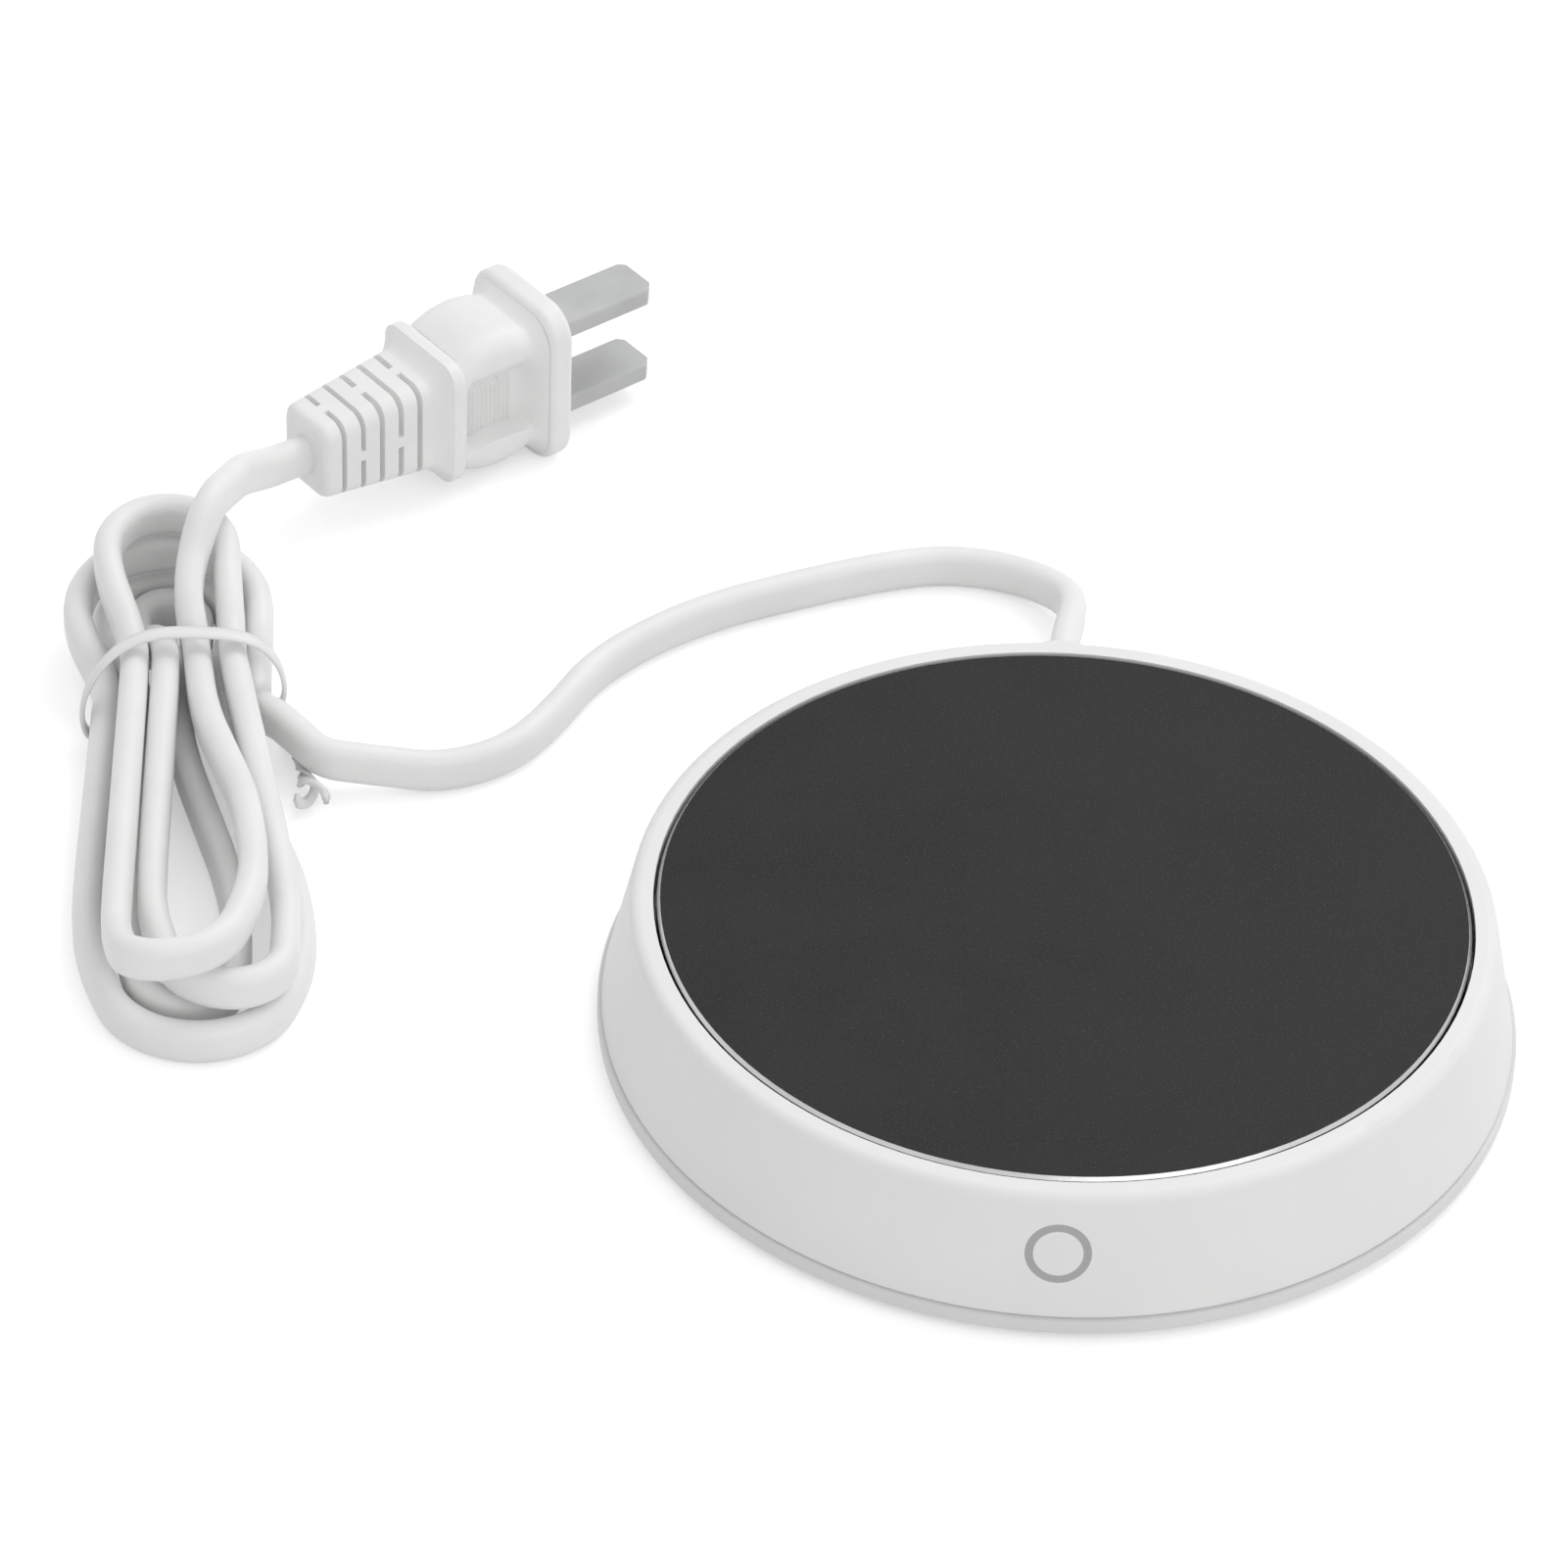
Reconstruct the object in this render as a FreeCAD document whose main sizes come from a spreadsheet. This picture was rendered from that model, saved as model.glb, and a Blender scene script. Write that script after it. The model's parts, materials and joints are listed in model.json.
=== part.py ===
import FreeCAD, Part

import math
import os

import Sketcher

Vector = FreeCAD.Vector

doc = FreeCAD.newDocument("mug_warmer")

# Driving dimensions in millimetres. The origin is the bottom centre of the warmer, the touch ring
# faces -Y and the cord leaves at +Y.
SIZES = {
    # case
    "case_radius": 57.5,
    "band_top": 3.2,
    "underside": 0.8,
    "band_chamfer": 0.6,
    "floor_thickness": 2.0,
    "lip_clearance": 0.25,
    "lip_thickness": 1.6,
    "lip_rise": 3.3,
    "seam_gap": 0.3,
    "band_step": 0.5,
    "slope_lean": 3.4,
    "rim_width": 2.7,
    "rim_top": 19.6,
    "rim_round": 1.5,
    "case_wall": 2.2,
    "ledge_thickness": 1.8,
    "ledge_width": 3.5,
    "boss_inset": 8.9,
    "boss_radius": 3.2,
    "boss_foot": 4.6,
    "screw_hole_radius": 1.15,
    "screw_radius": 1.1,
    "screw_head_radius": 2.2,
    "screw_head_height": 1.2,
    "screw_head_gap": 0.3,
    "screw_reach": 8.0,
    "foot_radius": 5.0,
    "foot_inset": 17.5,
    "foot_recess": 1.0,
    "foot_clearance": 0.1,
    "foot_round": 0.4,
    "vent_length": 14.0,
    "vent_width": 1.8,
    "vent_circle": 20.0,
    # heated plate and what is clamped below it
    "plate_gap": 0.45,
    "plate_stand": 0.1,
    "plate_thickness": 3.0,
    "plate_arris": 0.4,
    "stud_inset": 7.95,
    "stud_radius": 2.6,
    "stud_hole_radius": 1.05,
    "gasket_width": 2.4,
    "gasket_thickness": 1.9,
    "gasket_set_back": 0.4,
    "heater_margin": 3.9,
    "heater_thickness": 1.5,
    "centre_hole_radius": 7.0,
    "pad_overhang": 2.0,
    "pad_thickness": 2.6,
    "clamp_overhang": 1.0,
    "clamp_thickness": 1.0,
    "clamp_ear_radius": 4.4,
    "stud_screw_radius": 1.0,
    "stud_screw_head_radius": 2.0,
    "stud_screw_head_height": 1.3,
    "stud_screw_reach": 3.0,
    "thermostat_radius": 8.0,
    "thermostat_height": 4.2,
    "thermostat_offset": 20.0,
    "sensor_radius": 2.6,
    # circuit board
    "board_width": 44.0,
    "board_depth": 20.0,
    "board_thickness": 1.6,
    "board_level": 5.0,
    "board_front_inset": 13.5,
    "board_lead_inset": 3.0,
    "board_post_inset": 5.077,
    "post_radius": 2.4,
    "relay_length": 12.0,
    "relay_width": 8.0,
    "relay_height": 3.8,
    "capacitor_radius": 1.8,
    "capacitor_length": 9.0,
    "touch_board_width": 15.0,
    "touch_board_height": 8.2,
    "touch_board_thickness": 1.2,
    "contact_radius": 2.4,
    "contact_drop": 2.0,
    "led_size": 1.8,
    "heater_lead_radius": 0.9,
    "heater_lead_hole": 1.6,
    "heater_lead_spread": 12.0,
    "wire_radius": 0.8,
    "wire_gap": 0.2,
    "wire_straight": 14.0,
    "wire_slant": 20.0,
    "wire_spread": 6.0,
    # touch ring
    "ring_outer_radius": 4.0,
    "ring_inner_radius": 3.0,
    "ring_thickness": 0.3,
    "ring_level": 12.0,
    # cord and where it leaves the case
    "cord_thickness": 3.7,
    "cord_width": 5.8,
    "exit_level": 6.4,
    "bush_inner_inset": 11.5,
    "bush_reach": 12.5,
    "bush_root_width": 9.0,
    "bush_root_height": 8.8,
    "bush_tip_width": 5.2,
    "bush_tip_height": 7.0,
    "bush_groove": 0.9,
    "bush_clearance": 0.1,
    "cord_clamp_length": 6.0,
    "cord_clamp_width": 20.0,
    "cord_clamp_roof": 2.0,
    # plug
    "relief_length": 18.0,
    "relief_tip_width": 8.8,
    "relief_tip_height": 10.4,
    "relief_root_width": 11.0,
    "relief_root_height": 13.0,
    "relief_corner": 2.0,
    "relief_slot_start": 3.4,
    "relief_slot_pitch": 3.1,
    "relief_slot_width": 0.9,
    "relief_slot_depth": 1.5,
    "relief_bridge": 1.7,
    "collar_length": 3.2,
    "collar_width": 14.0,
    "collar_height": 18.0,
    "collar_corner": 2.4,
    "grip_length": 12.5,
    "grip_width": 12.4,
    "grip_radius": 9.9,
    "grip_round": 1.6,
    "flange_length": 3.0,
    "flange_width": 15.6,
    "flange_height": 22.0,
    "flange_corner": 4.0,
    "edge_round": 0.8,
    "recess_depth": 1.0,
    "recess_length": 8.6,
    "recess_height": 9.0,
    "rib_width": 0.4,
    "rib_height": 0.5,
    "blade_spacing": 12.7,
    "blade_width": 6.35,
    "blade_thickness": 1.5,
    "blade_length": 17.0,
    "blade_hole_radius": 1.6,
    "blade_hole_from_tip": 4.6,
    "blade_root": 4.0,
    "sleeve_wall": 0.6,
    "sleeve_clearance": 0.06,
    "sleeve_tip": 0.8,
    "sleeve_round": 0.5,
    # hank of spare cord
    "hank_length": 92.5,
    "waist_at": 66.0,
    "strand_pitch": 4.35,
    "layer_pitch": 6.3,
    "floor_gap": 0.05,
    "tie_width": 1.6,
    "tie_thickness": 0.6,
    "tie_gap": 0.5,
    "tie_twist_radius": 1.0,
}
SCREW_COUNT = 4
FOOT_COUNT = 4
STUD_COUNT = 3
VENT_COUNT = 8
SLOT_COUNT = 5
RIB_COUNT = 10

# Where the plug lies: the cord's end of its strain relief, and its heading from +X.
PLUG_AT = Vector(-101.4, 97.6, 0)
PLUG_HEADING = 40.4

# Where the hank lies: the middle of its lower end, and the heading of its length from +X.
HANK_AT = Vector(-108.5, -14.5, 0)
HANK_HEADING = 96.9


def make_sheet(sizes):
    """Puts every driving dimension in the sheet under its own name."""
    sheet = doc.addObject("Spreadsheet::Sheet", "sizes")
    for row, (name, value) in enumerate(sizes.items(), start=1):
        sheet.set("A%d" % row, name)
        sheet.set("B%d" % row, str(value))
        sheet.setAlias("B%d" % row, name)
    doc.recompute()
    return sheet


SHEET = make_sheet(SIZES)


class Size:
    """A length together with the sheet expression that drives it."""

    def __init__(self, value, text=None):
        self.value = float(value)
        self.text = str(value) if text is None else text

    def __add__(self, other):
        other = as_size(other)
        return Size(self.value + other.value, "(%s + %s)" % (self.text, other.text))

    def __sub__(self, other):
        other = as_size(other)
        return Size(self.value - other.value, "(%s - %s)" % (self.text, other.text))

    def __mul__(self, other):
        other = as_size(other)
        return Size(self.value * other.value, "(%s * %s)" % (self.text, other.text))

    def __truediv__(self, other):
        other = as_size(other)
        return Size(self.value / other.value, "(%s / %s)" % (self.text, other.text))

    def __neg__(self):
        return Size(-self.value, "(0 - %s)" % self.text)


def as_size(value):
    return value if isinstance(value, Size) else Size(value)


def of(name):
    """The named driving dimension."""
    return Size(SHEET.get(name), "sizes.%s" % name)


def bind(thing, prop, size):
    """Sets a property and ties it to its sheet expression."""
    size = as_size(size)
    setattr(thing, prop, size.value)
    thing.setExpression(prop, size.text)


def bind_place(thing, x=0, y=0, z=0):
    """Puts an object at a place whose coordinates follow the sheet."""
    thing.Placement = FreeCAD.Placement(
        Vector(as_size(x).value, as_size(y).value, as_size(z).value), thing.Placement.Rotation)
    for axis, size in (("x", x), ("y", y), ("z", z)):
        thing.setExpression("Placement.Base.%s" % axis, as_size(size).text)


def cylinder(name, radius, height, x=0, y=0, z=0):
    thing = doc.addObject("Part::Cylinder", name)
    bind(thing, "Radius", radius)
    bind(thing, "Height", height)
    bind_place(thing, x, y, z)
    return thing


def box(name, length, width, height, x=0, y=0, z=0):
    """A box centred on x and y, standing on z."""
    thing = doc.addObject("Part::Box", name)
    bind(thing, "Length", length)
    bind(thing, "Width", width)
    bind(thing, "Height", height)
    bind_place(thing, as_size(x) - as_size(length) / 2, as_size(y) - as_size(width) / 2, z)
    return thing


def fuse(name, things):
    thing = doc.addObject("Part::MultiFuse", name)
    thing.Shapes = things
    return thing


def cut(name, base, tool):
    thing = doc.addObject("Part::Cut", name)
    thing.Base = base
    thing.Tool = tool
    return thing


def common(name, things):
    thing = doc.addObject("Part::MultiCommon", name)
    thing.Shapes = things
    return thing


def turned(name, corners):
    """A body turned about Z from the (radius, height) corners of its section."""
    body = doc.addObject("PartDesign::Body", name)
    plane = [item for item in body.Origin.OriginFeatures if item.Role == "XZ_Plane"][0]
    sketch = body.newObject("Sketcher::SketchObject", name + "_section")
    sketch.AttachmentSupport = [(plane, "")]
    sketch.MapMode = "FlatFace"
    points = [(as_size(across), as_size(up)) for across, up in corners]
    count = len(points)
    for index in range(count):
        start = Vector(points[index][0].value, points[index][1].value, 0)
        following = points[(index + 1) % count]
        end = Vector(following[0].value, following[1].value, 0)
        sketch.addGeometry(Part.LineSegment(start, end), False)
    for index in range(count):
        sketch.addConstraint(Sketcher.Constraint("Coincident", index, 2, (index + 1) % count, 1))
    for index, (across, up) in enumerate(points):
        for kind, size, axis in (("DistanceX", across, -2), ("DistanceY", up, -1)):
            if size.value == 0:
                sketch.addConstraint(Sketcher.Constraint("PointOnObject", index, 1, axis))
            else:
                number = sketch.addConstraint(
                    Sketcher.Constraint(kind, -1, 1, index, 1, size.value))
                sketch.setExpression("Constraints[%d]" % number, size.text)
    turn = body.newObject("PartDesign::Revolution", name + "_turn")
    turn.Profile = sketch
    turn.ReferenceAxis = (sketch, ["V_Axis"])
    turn.Angle = 360
    body.Tip = turn
    doc.recompute()
    return body


def dress(body, kind, radius, height, size):
    """Rounds or bevels the turned edge at a radius and height."""
    base = body.Tip
    names = []
    for number, edge in enumerate(base.Shape.Edges, start=1):
        curve = edge.Curve
        if not isinstance(curve, Part.Circle):
            continue
        near = abs(curve.Radius - radius.value) < 1e-4
        if near and abs(curve.Center.z - height.value) < 1e-4:
            names.append("Edge%d" % number)
    feature = body.newObject("PartDesign::" + kind, "%s_%s" % (body.Name, kind.lower()))
    feature.Base = (base, names)
    bind(feature, "Radius" if kind == "Fillet" else "Size", size)
    body.Tip = feature
    doc.recompute()


def around(count, circle, start_angle=0):
    """Places evenly spaced on a circle, tied to its radius."""
    places = []
    for index in range(count):
        angle = math.radians(start_angle + index * 360 / count)
        places.append((circle * round(math.cos(angle), 9), circle * round(math.sin(angle), 9)))
    return places


def solid(name, shape, place=None):
    """A sub-part whose shape is worked out here."""
    thing = doc.addObject("Part::Feature", name)
    thing.Shape = shape
    if place is not None:
        thing.Placement = place
    return thing


# Radii that several pieces share, from the case's outside inwards.
slope_foot_radius = of("case_radius") - of("band_step")
rim_outer_radius = slope_foot_radius - of("slope_lean")
rim_inner_radius = rim_outer_radius - of("rim_width")
ledge_inner_radius = rim_inner_radius - of("ledge_width")
boss_circle = of("case_radius") - of("boss_inset")
foot_circle = of("case_radius") - of("foot_inset")
plate_radius = rim_inner_radius - of("plate_gap")
stud_circle = plate_radius - of("stud_inset")
heater_radius = stud_circle - of("stud_radius") - of("heater_margin")
pad_radius = heater_radius + of("pad_overhang")
clamp_radius = pad_radius + of("clamp_overhang")
board_back = of("case_radius") - of("board_front_inset") - of("board_depth")
bush_inner_end = of("case_radius") - of("bush_inner_inset")
bush_outer_end = of("case_radius") + of("bush_reach")

# Levels that several pieces share.
plate_top = of("rim_top") + of("plate_stand")
floor_top = of("underside") + of("floor_thickness")
seam_level = of("band_top") + of("seam_gap")
plate_under = plate_top - of("plate_thickness")
ledge_top = plate_under - of("gasket_thickness")
heater_under = plate_under - of("heater_thickness")
pad_under = heater_under - of("pad_thickness")
clamp_under = pad_under - of("clamp_thickness")
board_top = of("board_level") + of("board_thickness")
ledge_under = ledge_top - of("ledge_thickness")
SLOPE = math.atan2(
    (slope_foot_radius - rim_outer_radius).value, (of("rim_top") - seam_level).value)
slope_run = (slope_foot_radius - rim_outer_radius) / (of("rim_top") - seam_level)


def slope_radius(level):
    """Radius of the case's sloping face at a height."""
    return rim_outer_radius + (of("rim_top") - level) * slope_run


BOSS_PLACES = around(SCREW_COUNT, boss_circle, 45)
FOOT_PLACES = around(FOOT_COUNT, foot_circle, 45)
STUD_PLACES = around(STUD_COUNT, stud_circle, 0)


def ring_tube(name):
    """The touch ring's outline as a short tube square to the slope."""
    depth = of("ring_thickness") * 8
    outer = cylinder(name + "_outer", of("ring_outer_radius"), depth)
    inner = cylinder(name + "_inner", of("ring_inner_radius"), depth)
    tube = cut(name, outer, inner)
    tilt = FreeCAD.Rotation(Vector(1, 0, 0), 90 - math.degrees(SLOPE))
    tube.Placement = FreeCAD.Placement(Vector(0, 0, 0), tilt)
    inward = depth / 2
    bind_place(
        tube, 0, -(slope_radius(of("ring_level")) - inward * math.cos(SLOPE)),
        of("ring_level") - inward * math.sin(SLOPE))
    return tube


def slope_skin(name):
    """The outer layer of the slope, as deep as the touch ring."""
    low = of("ring_level") - of("ring_outer_radius") * 2
    high = of("ring_level") + of("ring_outer_radius") * 1.5
    deep = of("ring_thickness")
    return turned(name, [
        (slope_radius(low) - deep, low), (slope_radius(low), low),
        (slope_radius(high), high), (slope_radius(high) - deep, high)])


def make_touch_ring():
    """The flush ring that marks the touch key on the front of the slope."""
    return common("touch_ring", [slope_skin("ring_skin"), ring_tube("ring_tube")])


def make_bush_opening(name, grow):
    """The rectangular opening in the wall that the strain relief's neck fills."""
    deep = of("case_wall") * 6
    return box(
        name, of("bush_root_width") - of("bush_groove") * 2 + grow, deep,
        of("bush_root_height") - of("bush_groove") * 2 + grow, 0, slope_foot_radius,
        of("exit_level") - (of("bush_root_height") - of("bush_groove") * 2 + grow) / 2)


def make_top_shell():
    """The moulded upper case: rim, slope, inner ledge for the plate and screw bosses."""
    inner_high = slope_radius(ledge_under) - of("case_wall")
    body = turned("shell_turned", [
        (rim_inner_radius, of("rim_top")), (rim_outer_radius, of("rim_top")),
        (slope_foot_radius, seam_level),
        (slope_foot_radius - of("case_wall"), seam_level),
        (inner_high, ledge_under), (ledge_inner_radius, ledge_under),
        (ledge_inner_radius, ledge_top), (rim_inner_radius, ledge_top)])
    dress(body, "Fillet", rim_outer_radius, of("rim_top"), of("rim_round"))
    bosses = []
    groove = common("ring_groove", [slope_skin("groove_skin"), ring_tube("groove_tube")])
    holes = [make_bush_opening("shell_exit", of("bush_clearance")), groove]
    for index, (x, y) in enumerate(BOSS_PLACES, start=1):
        height = ledge_under - of("boss_foot") + of("ledge_thickness") / 2
        bosses.append(cylinder("boss_%d" % index, of("boss_radius"), height, x, y, of("boss_foot")))
        depth = of("screw_reach") + 1
        holes.append(cylinder(
            "boss_hole_%d" % index, of("screw_hole_radius"), depth, x, y,
            of("boss_foot") - 0.5))
    whole = fuse("shell_with_bosses", [body] + bosses)
    return cut("top_shell", whole, fuse("shell_holes", holes))


def make_bottom_cover():
    """The dished bottom cover: outer band, lip inside the shell, vents, posts and recesses."""
    lip_top = of("band_top") + of("lip_rise")
    inner_at_lip = slope_radius(lip_top) - of("case_wall")
    lip_outer = inner_at_lip - of("lip_clearance")
    lip_inner = lip_outer - of("lip_thickness")
    zero = Size(0)
    body = turned("cover_turned", [
        (zero, of("underside")), (of("case_radius"), of("underside")),
        (of("case_radius"), of("band_top")), (lip_outer, of("band_top")), (lip_outer, lip_top),
        (lip_inner, lip_top), (lip_inner, floor_top), (zero, floor_top)])
    dress(body, "Chamfer", of("case_radius"), of("underside"), of("band_chamfer"))
    posts = []
    holes = [make_bush_opening("cover_exit", of("bush_clearance"))]
    for index, (x, y) in enumerate(BOSS_PLACES, start=1):
        height = of("boss_foot") - floor_top + 0.3
        posts.append(cylinder(
            "seat_%d" % index, of("boss_radius"), height, x, y, floor_top - 0.3))
        holes.append(cylinder(
            "seat_hole_%d" % index, of("screw_hole_radius"), of("boss_foot"), x, y, 0))
        holes.append(cylinder(
            "head_recess_%d" % index, of("screw_head_radius") + of("foot_clearance"),
            of("screw_head_height") + of("screw_head_gap") + of("underside"), x, y, 0))
    for index, (x, y) in enumerate(FOOT_PLACES, start=1):
        holes.append(cylinder(
            "foot_recess_%d" % index, of("foot_radius") + of("foot_clearance"),
            of("foot_recess") + of("underside"), x, y, 0))
    board_middle = -(board_back + of("board_depth") / 2)
    post_reach = of("board_width") / 2 - of("board_post_inset")
    for side, x in (("left", -post_reach), ("right", post_reach)):
        posts.append(cylinder(
            "board_post_" + side, of("post_radius"), of("board_level") - floor_top + 0.3, x,
            board_middle, floor_top - 0.3))
    clamp_seat = of("exit_level") - of("cord_width") / 2
    for side, sign in (("left", -1), ("right", 1)):
        posts.append(cylinder(
            "cord_post_" + side, of("post_radius"), clamp_seat - floor_top + 0.3,
            of("cord_clamp_width") / 2 * sign - of("post_radius") * sign,
            bush_inner_end - of("cord_clamp_length") / 2, floor_top - 0.3))
    for index in range(VENT_COUNT):
        angle = (index + 0.5) * 360 / VENT_COUNT
        vent = box(
            "vent_%d" % (index + 1), of("vent_length"), of("vent_width"), of("floor_thickness") * 3)
        vent.Placement.Rotation = FreeCAD.Rotation(Vector(0, 0, 1), angle)
        near = of("vent_circle") - of("vent_length") / 2
        side = of("vent_width") / 2
        east = round(math.cos(math.radians(angle)), 9)
        north = round(math.sin(math.radians(angle)), 9)
        bind_place(vent, near * east + side * north, near * north - side * east)
        holes.append(vent)
    whole = fuse("cover_with_posts", [body] + posts)
    return cut("bottom_cover", whole, fuse("cover_holes", holes))


def make_feet():
    """Rubber feet that stand a little below the cover."""
    for index, (x, y) in enumerate(FOOT_PLACES, start=1):
        height = of("underside") + of("foot_recess")
        zero = Size(0)
        foot = turned("rubber_foot_%d" % index, [
            (zero, zero), (of("foot_radius"), zero), (of("foot_radius"), height), (zero, height)])
        dress(foot, "Fillet", of("foot_radius"), zero, of("foot_round"))
        bind_place(foot, x, y, 0)


def make_case_screws():
    """Screws up through the cover into the shell's bosses."""
    for index, (x, y) in enumerate(BOSS_PLACES, start=1):
        head_low = of("underside") + of("screw_head_gap")
        head = cylinder(
            "screw_head_%d" % index, of("screw_head_radius"), of("screw_head_height"), x, y,
            head_low)
        shank = cylinder(
            "screw_shank_%d" % index, of("screw_radius"), of("screw_reach") + 2, x, y,
            head_low + of("screw_head_height") - 0.1)
        fuse("case_screw_%d" % index, [head, shank])


def make_heating_plate():
    """The flat top plate with its bevelled arris and the studs that hold the heater."""
    zero = Size(0)
    body = turned("plate_turned", [
        (zero, plate_under), (plate_radius, plate_under),
        (plate_radius, plate_top), (zero, plate_top)])
    dress(body, "Chamfer", plate_radius, plate_top, of("plate_arris"))
    studs = []
    holes = []
    for index, (x, y) in enumerate(STUD_PLACES, start=1):
        height = plate_under - pad_under
        studs.append(cylinder(
            "stud_%d" % index, of("stud_radius"), height + 0.3, x, y, pad_under))
        holes.append(cylinder(
            "stud_hole_%d" % index, of("stud_hole_radius"), height - 0.2, x, y, pad_under))
    whole = fuse("plate_with_studs", [body] + studs)
    return cut("heating_plate", whole, fuse("plate_holes", holes))


def make_gasket():
    """Silicone ring between the shell's ledge and the plate."""
    inner = ledge_inner_radius + of("gasket_set_back")
    outer = inner + of("gasket_width")
    turned("plate_gasket", [
        (inner, ledge_top), (outer, ledge_top), (outer, plate_under),
        (inner, plate_under)])


def lead_places():
    return [(of("heater_lead_spread") * side, -(board_back + of("board_lead_inset"))) for side in (-1, 1)]


def drilled_disc(name, radius, thickness, level, extra=()):
    """A flat disc with the centre hole for the sensor and the other holes given."""
    disc = cylinder(name + "_disc", radius, thickness, 0, 0, level)
    whole = fuse(name + "_whole", [disc] + list(extra)) if extra else disc
    holes = [cylinder(name + "_centre", of("centre_hole_radius"), thickness, 0, 0, level)]
    return whole, holes


def make_heater():
    """The flat heating element, held against the plate."""
    whole, holes = drilled_disc(
        "heater", heater_radius, of("heater_thickness"), heater_under)
    cut("heater_element", whole, holes[0])


def make_insulation():
    """The insulating pad under the heating element."""
    whole, holes = drilled_disc("pad", pad_radius, of("pad_thickness"), pad_under)
    for index, (x, y) in enumerate(lead_places(), start=1):
        holes.append(cylinder(
            "pad_lead_%d" % index, of("heater_lead_hole"), of("pad_thickness"), x, y, pad_under))
    cut("insulation_pad", whole, fuse("pad_holes", holes))


def make_heater_clamp():
    """The steel clamp plate with three ears screwed to the plate's studs."""
    ears = [
        cylinder("ear_%d" % index, of("clamp_ear_radius"), of("clamp_thickness"), x, y, clamp_under)
        for index, (x, y) in enumerate(STUD_PLACES, start=1)]
    whole, holes = drilled_disc(
        "clamp", clamp_radius, of("clamp_thickness"), clamp_under, ears)
    for index, (x, y) in enumerate(lead_places(), start=1):
        holes.append(cylinder(
            "clamp_lead_%d" % index, of("heater_lead_hole"), of("clamp_thickness"), x, y,
            clamp_under))
    for index, (x, y) in enumerate(STUD_PLACES, start=1):
        holes.append(cylinder(
            "ear_hole_%d" % index, of("stud_hole_radius"), of("clamp_thickness"), x, y,
            clamp_under))
    cut("heater_clamp", whole, fuse("clamp_holes", holes))


def make_clamp_screws():
    """Screws that hold the clamp plate to the studs."""
    for index, (x, y) in enumerate(STUD_PLACES, start=1):
        head_low = clamp_under - of("stud_screw_head_height")
        head = cylinder(
            "stud_screw_head_%d" % index, of("stud_screw_head_radius"),
            of("stud_screw_head_height"), x, y, head_low)
        shank = cylinder(
            "stud_screw_shank_%d" % index, of("stud_screw_radius"),
            of("stud_screw_reach") + of("clamp_thickness"), x, y, clamp_under - 0.1)
        fuse("clamp_screw_%d" % index, [head, shank])


def make_thermostat():
    """The round cut-out switch under the clamp plate, with its two tabs."""
    across = -of("thermostat_offset")
    low = clamp_under - of("thermostat_height")
    can = cylinder("thermostat_can", of("thermostat_radius"), of("thermostat_height"), across, 0, low)
    tab_size = of("thermostat_radius") * 0.5
    tabs = [
        box(
            "thermostat_tab_" + side, tab_size, tab_size, of("thermostat_height") * 0.25,
            across, (of("thermostat_radius") + tab_size / 2 - 0.5) * sign,
            low + of("thermostat_height") * 0.3)
        for side, sign in (("back", 1), ("front", -1))]
    fuse("thermal_cutoff", [can] + tabs)


def make_sensor():
    """The bead sensor against the middle of the plate."""
    cylinder(
        "temperature_sensor", of("sensor_radius"), plate_under - clamp_under, 0, 0, clamp_under)


def make_board():
    """The control board on its two posts, with the parts that stand on it."""
    middle = -(board_back + of("board_depth") / 2)
    box(
        "circuit_board", of("board_width"), of("board_depth"), of("board_thickness"), 0, middle,
        of("board_level"))
    box(
        "power_relay", of("relay_length"), of("relay_width"), of("relay_height"), 0, middle - 1,
        board_top)
    lying = cylinder(
        "capacitor", of("capacitor_radius"), of("capacitor_length"), 0, 0, 0)
    lying.Placement = FreeCAD.Placement(Vector(0, 0, 0), FreeCAD.Rotation(Vector(0, 1, 0), 90))
    bind_place(
        lying, of("relay_length") / 2 + 1.5, middle + 1, board_top + of("capacitor_radius"))
    front = -(board_back + of("board_depth")) + of("touch_board_thickness")
    box(
        "touch_board", of("touch_board_width"), of("touch_board_thickness"),
        of("touch_board_height"), 0, front, board_top)
    face = front - of("touch_board_thickness") / 2
    box(
        "indicator_led", of("led_size"), of("led_size"), of("led_size"),
        of("contact_radius") + of("led_size"), face - of("led_size") / 2,
        board_top + of("touch_board_height") * 0.5)
    return face


def make_touch_contact(face):
    """The springy contact from the touch board to the inside of the slope, behind the ring."""
    level = of("ring_level") - of("contact_drop")
    reach = slope_radius(level + of("contact_radius")) - of("case_wall") - of("lip_clearance")
    contact = cylinder("touch_contact", of("contact_radius"), reach + face, 0, 0, 0)
    contact.Placement = FreeCAD.Placement(Vector(0, 0, 0), FreeCAD.Rotation(Vector(1, 0, 0), 90))
    bind_place(contact, 0, face, level)


def make_heater_leads():
    """The two leads that rise from the board through the clamp and pad to the heater."""
    for side, (x, y) in zip(("left", "right"), lead_places()):
        cylinder(
            "heater_lead_" + side, of("heater_lead_radius"), heater_under - board_top, x, y,
            board_top)


def oval_wire(thickness, width, centre, along):
    """The flat cord's section, its long way up, square to the path at its start."""
    along = Vector(along).normalize()
    side = Vector(0, 0, 1).cross(along).normalize()
    up = along.cross(side).normalize()
    half = thickness / 2
    straight = width / 2 - half
    corners = [
        centre + side * half - up * straight, centre + side * half + up * straight,
        centre - side * half + up * straight, centre - side * half - up * straight]
    return Part.Wire([
        Part.LineSegment(corners[0], corners[1]).toShape(),
        Part.Arc(corners[1], centre + up * (straight + half), corners[2]).toShape(),
        Part.LineSegment(corners[2], corners[3]).toShape(),
        Part.Arc(corners[3], centre - up * (straight + half), corners[0]).toShape()])


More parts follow.
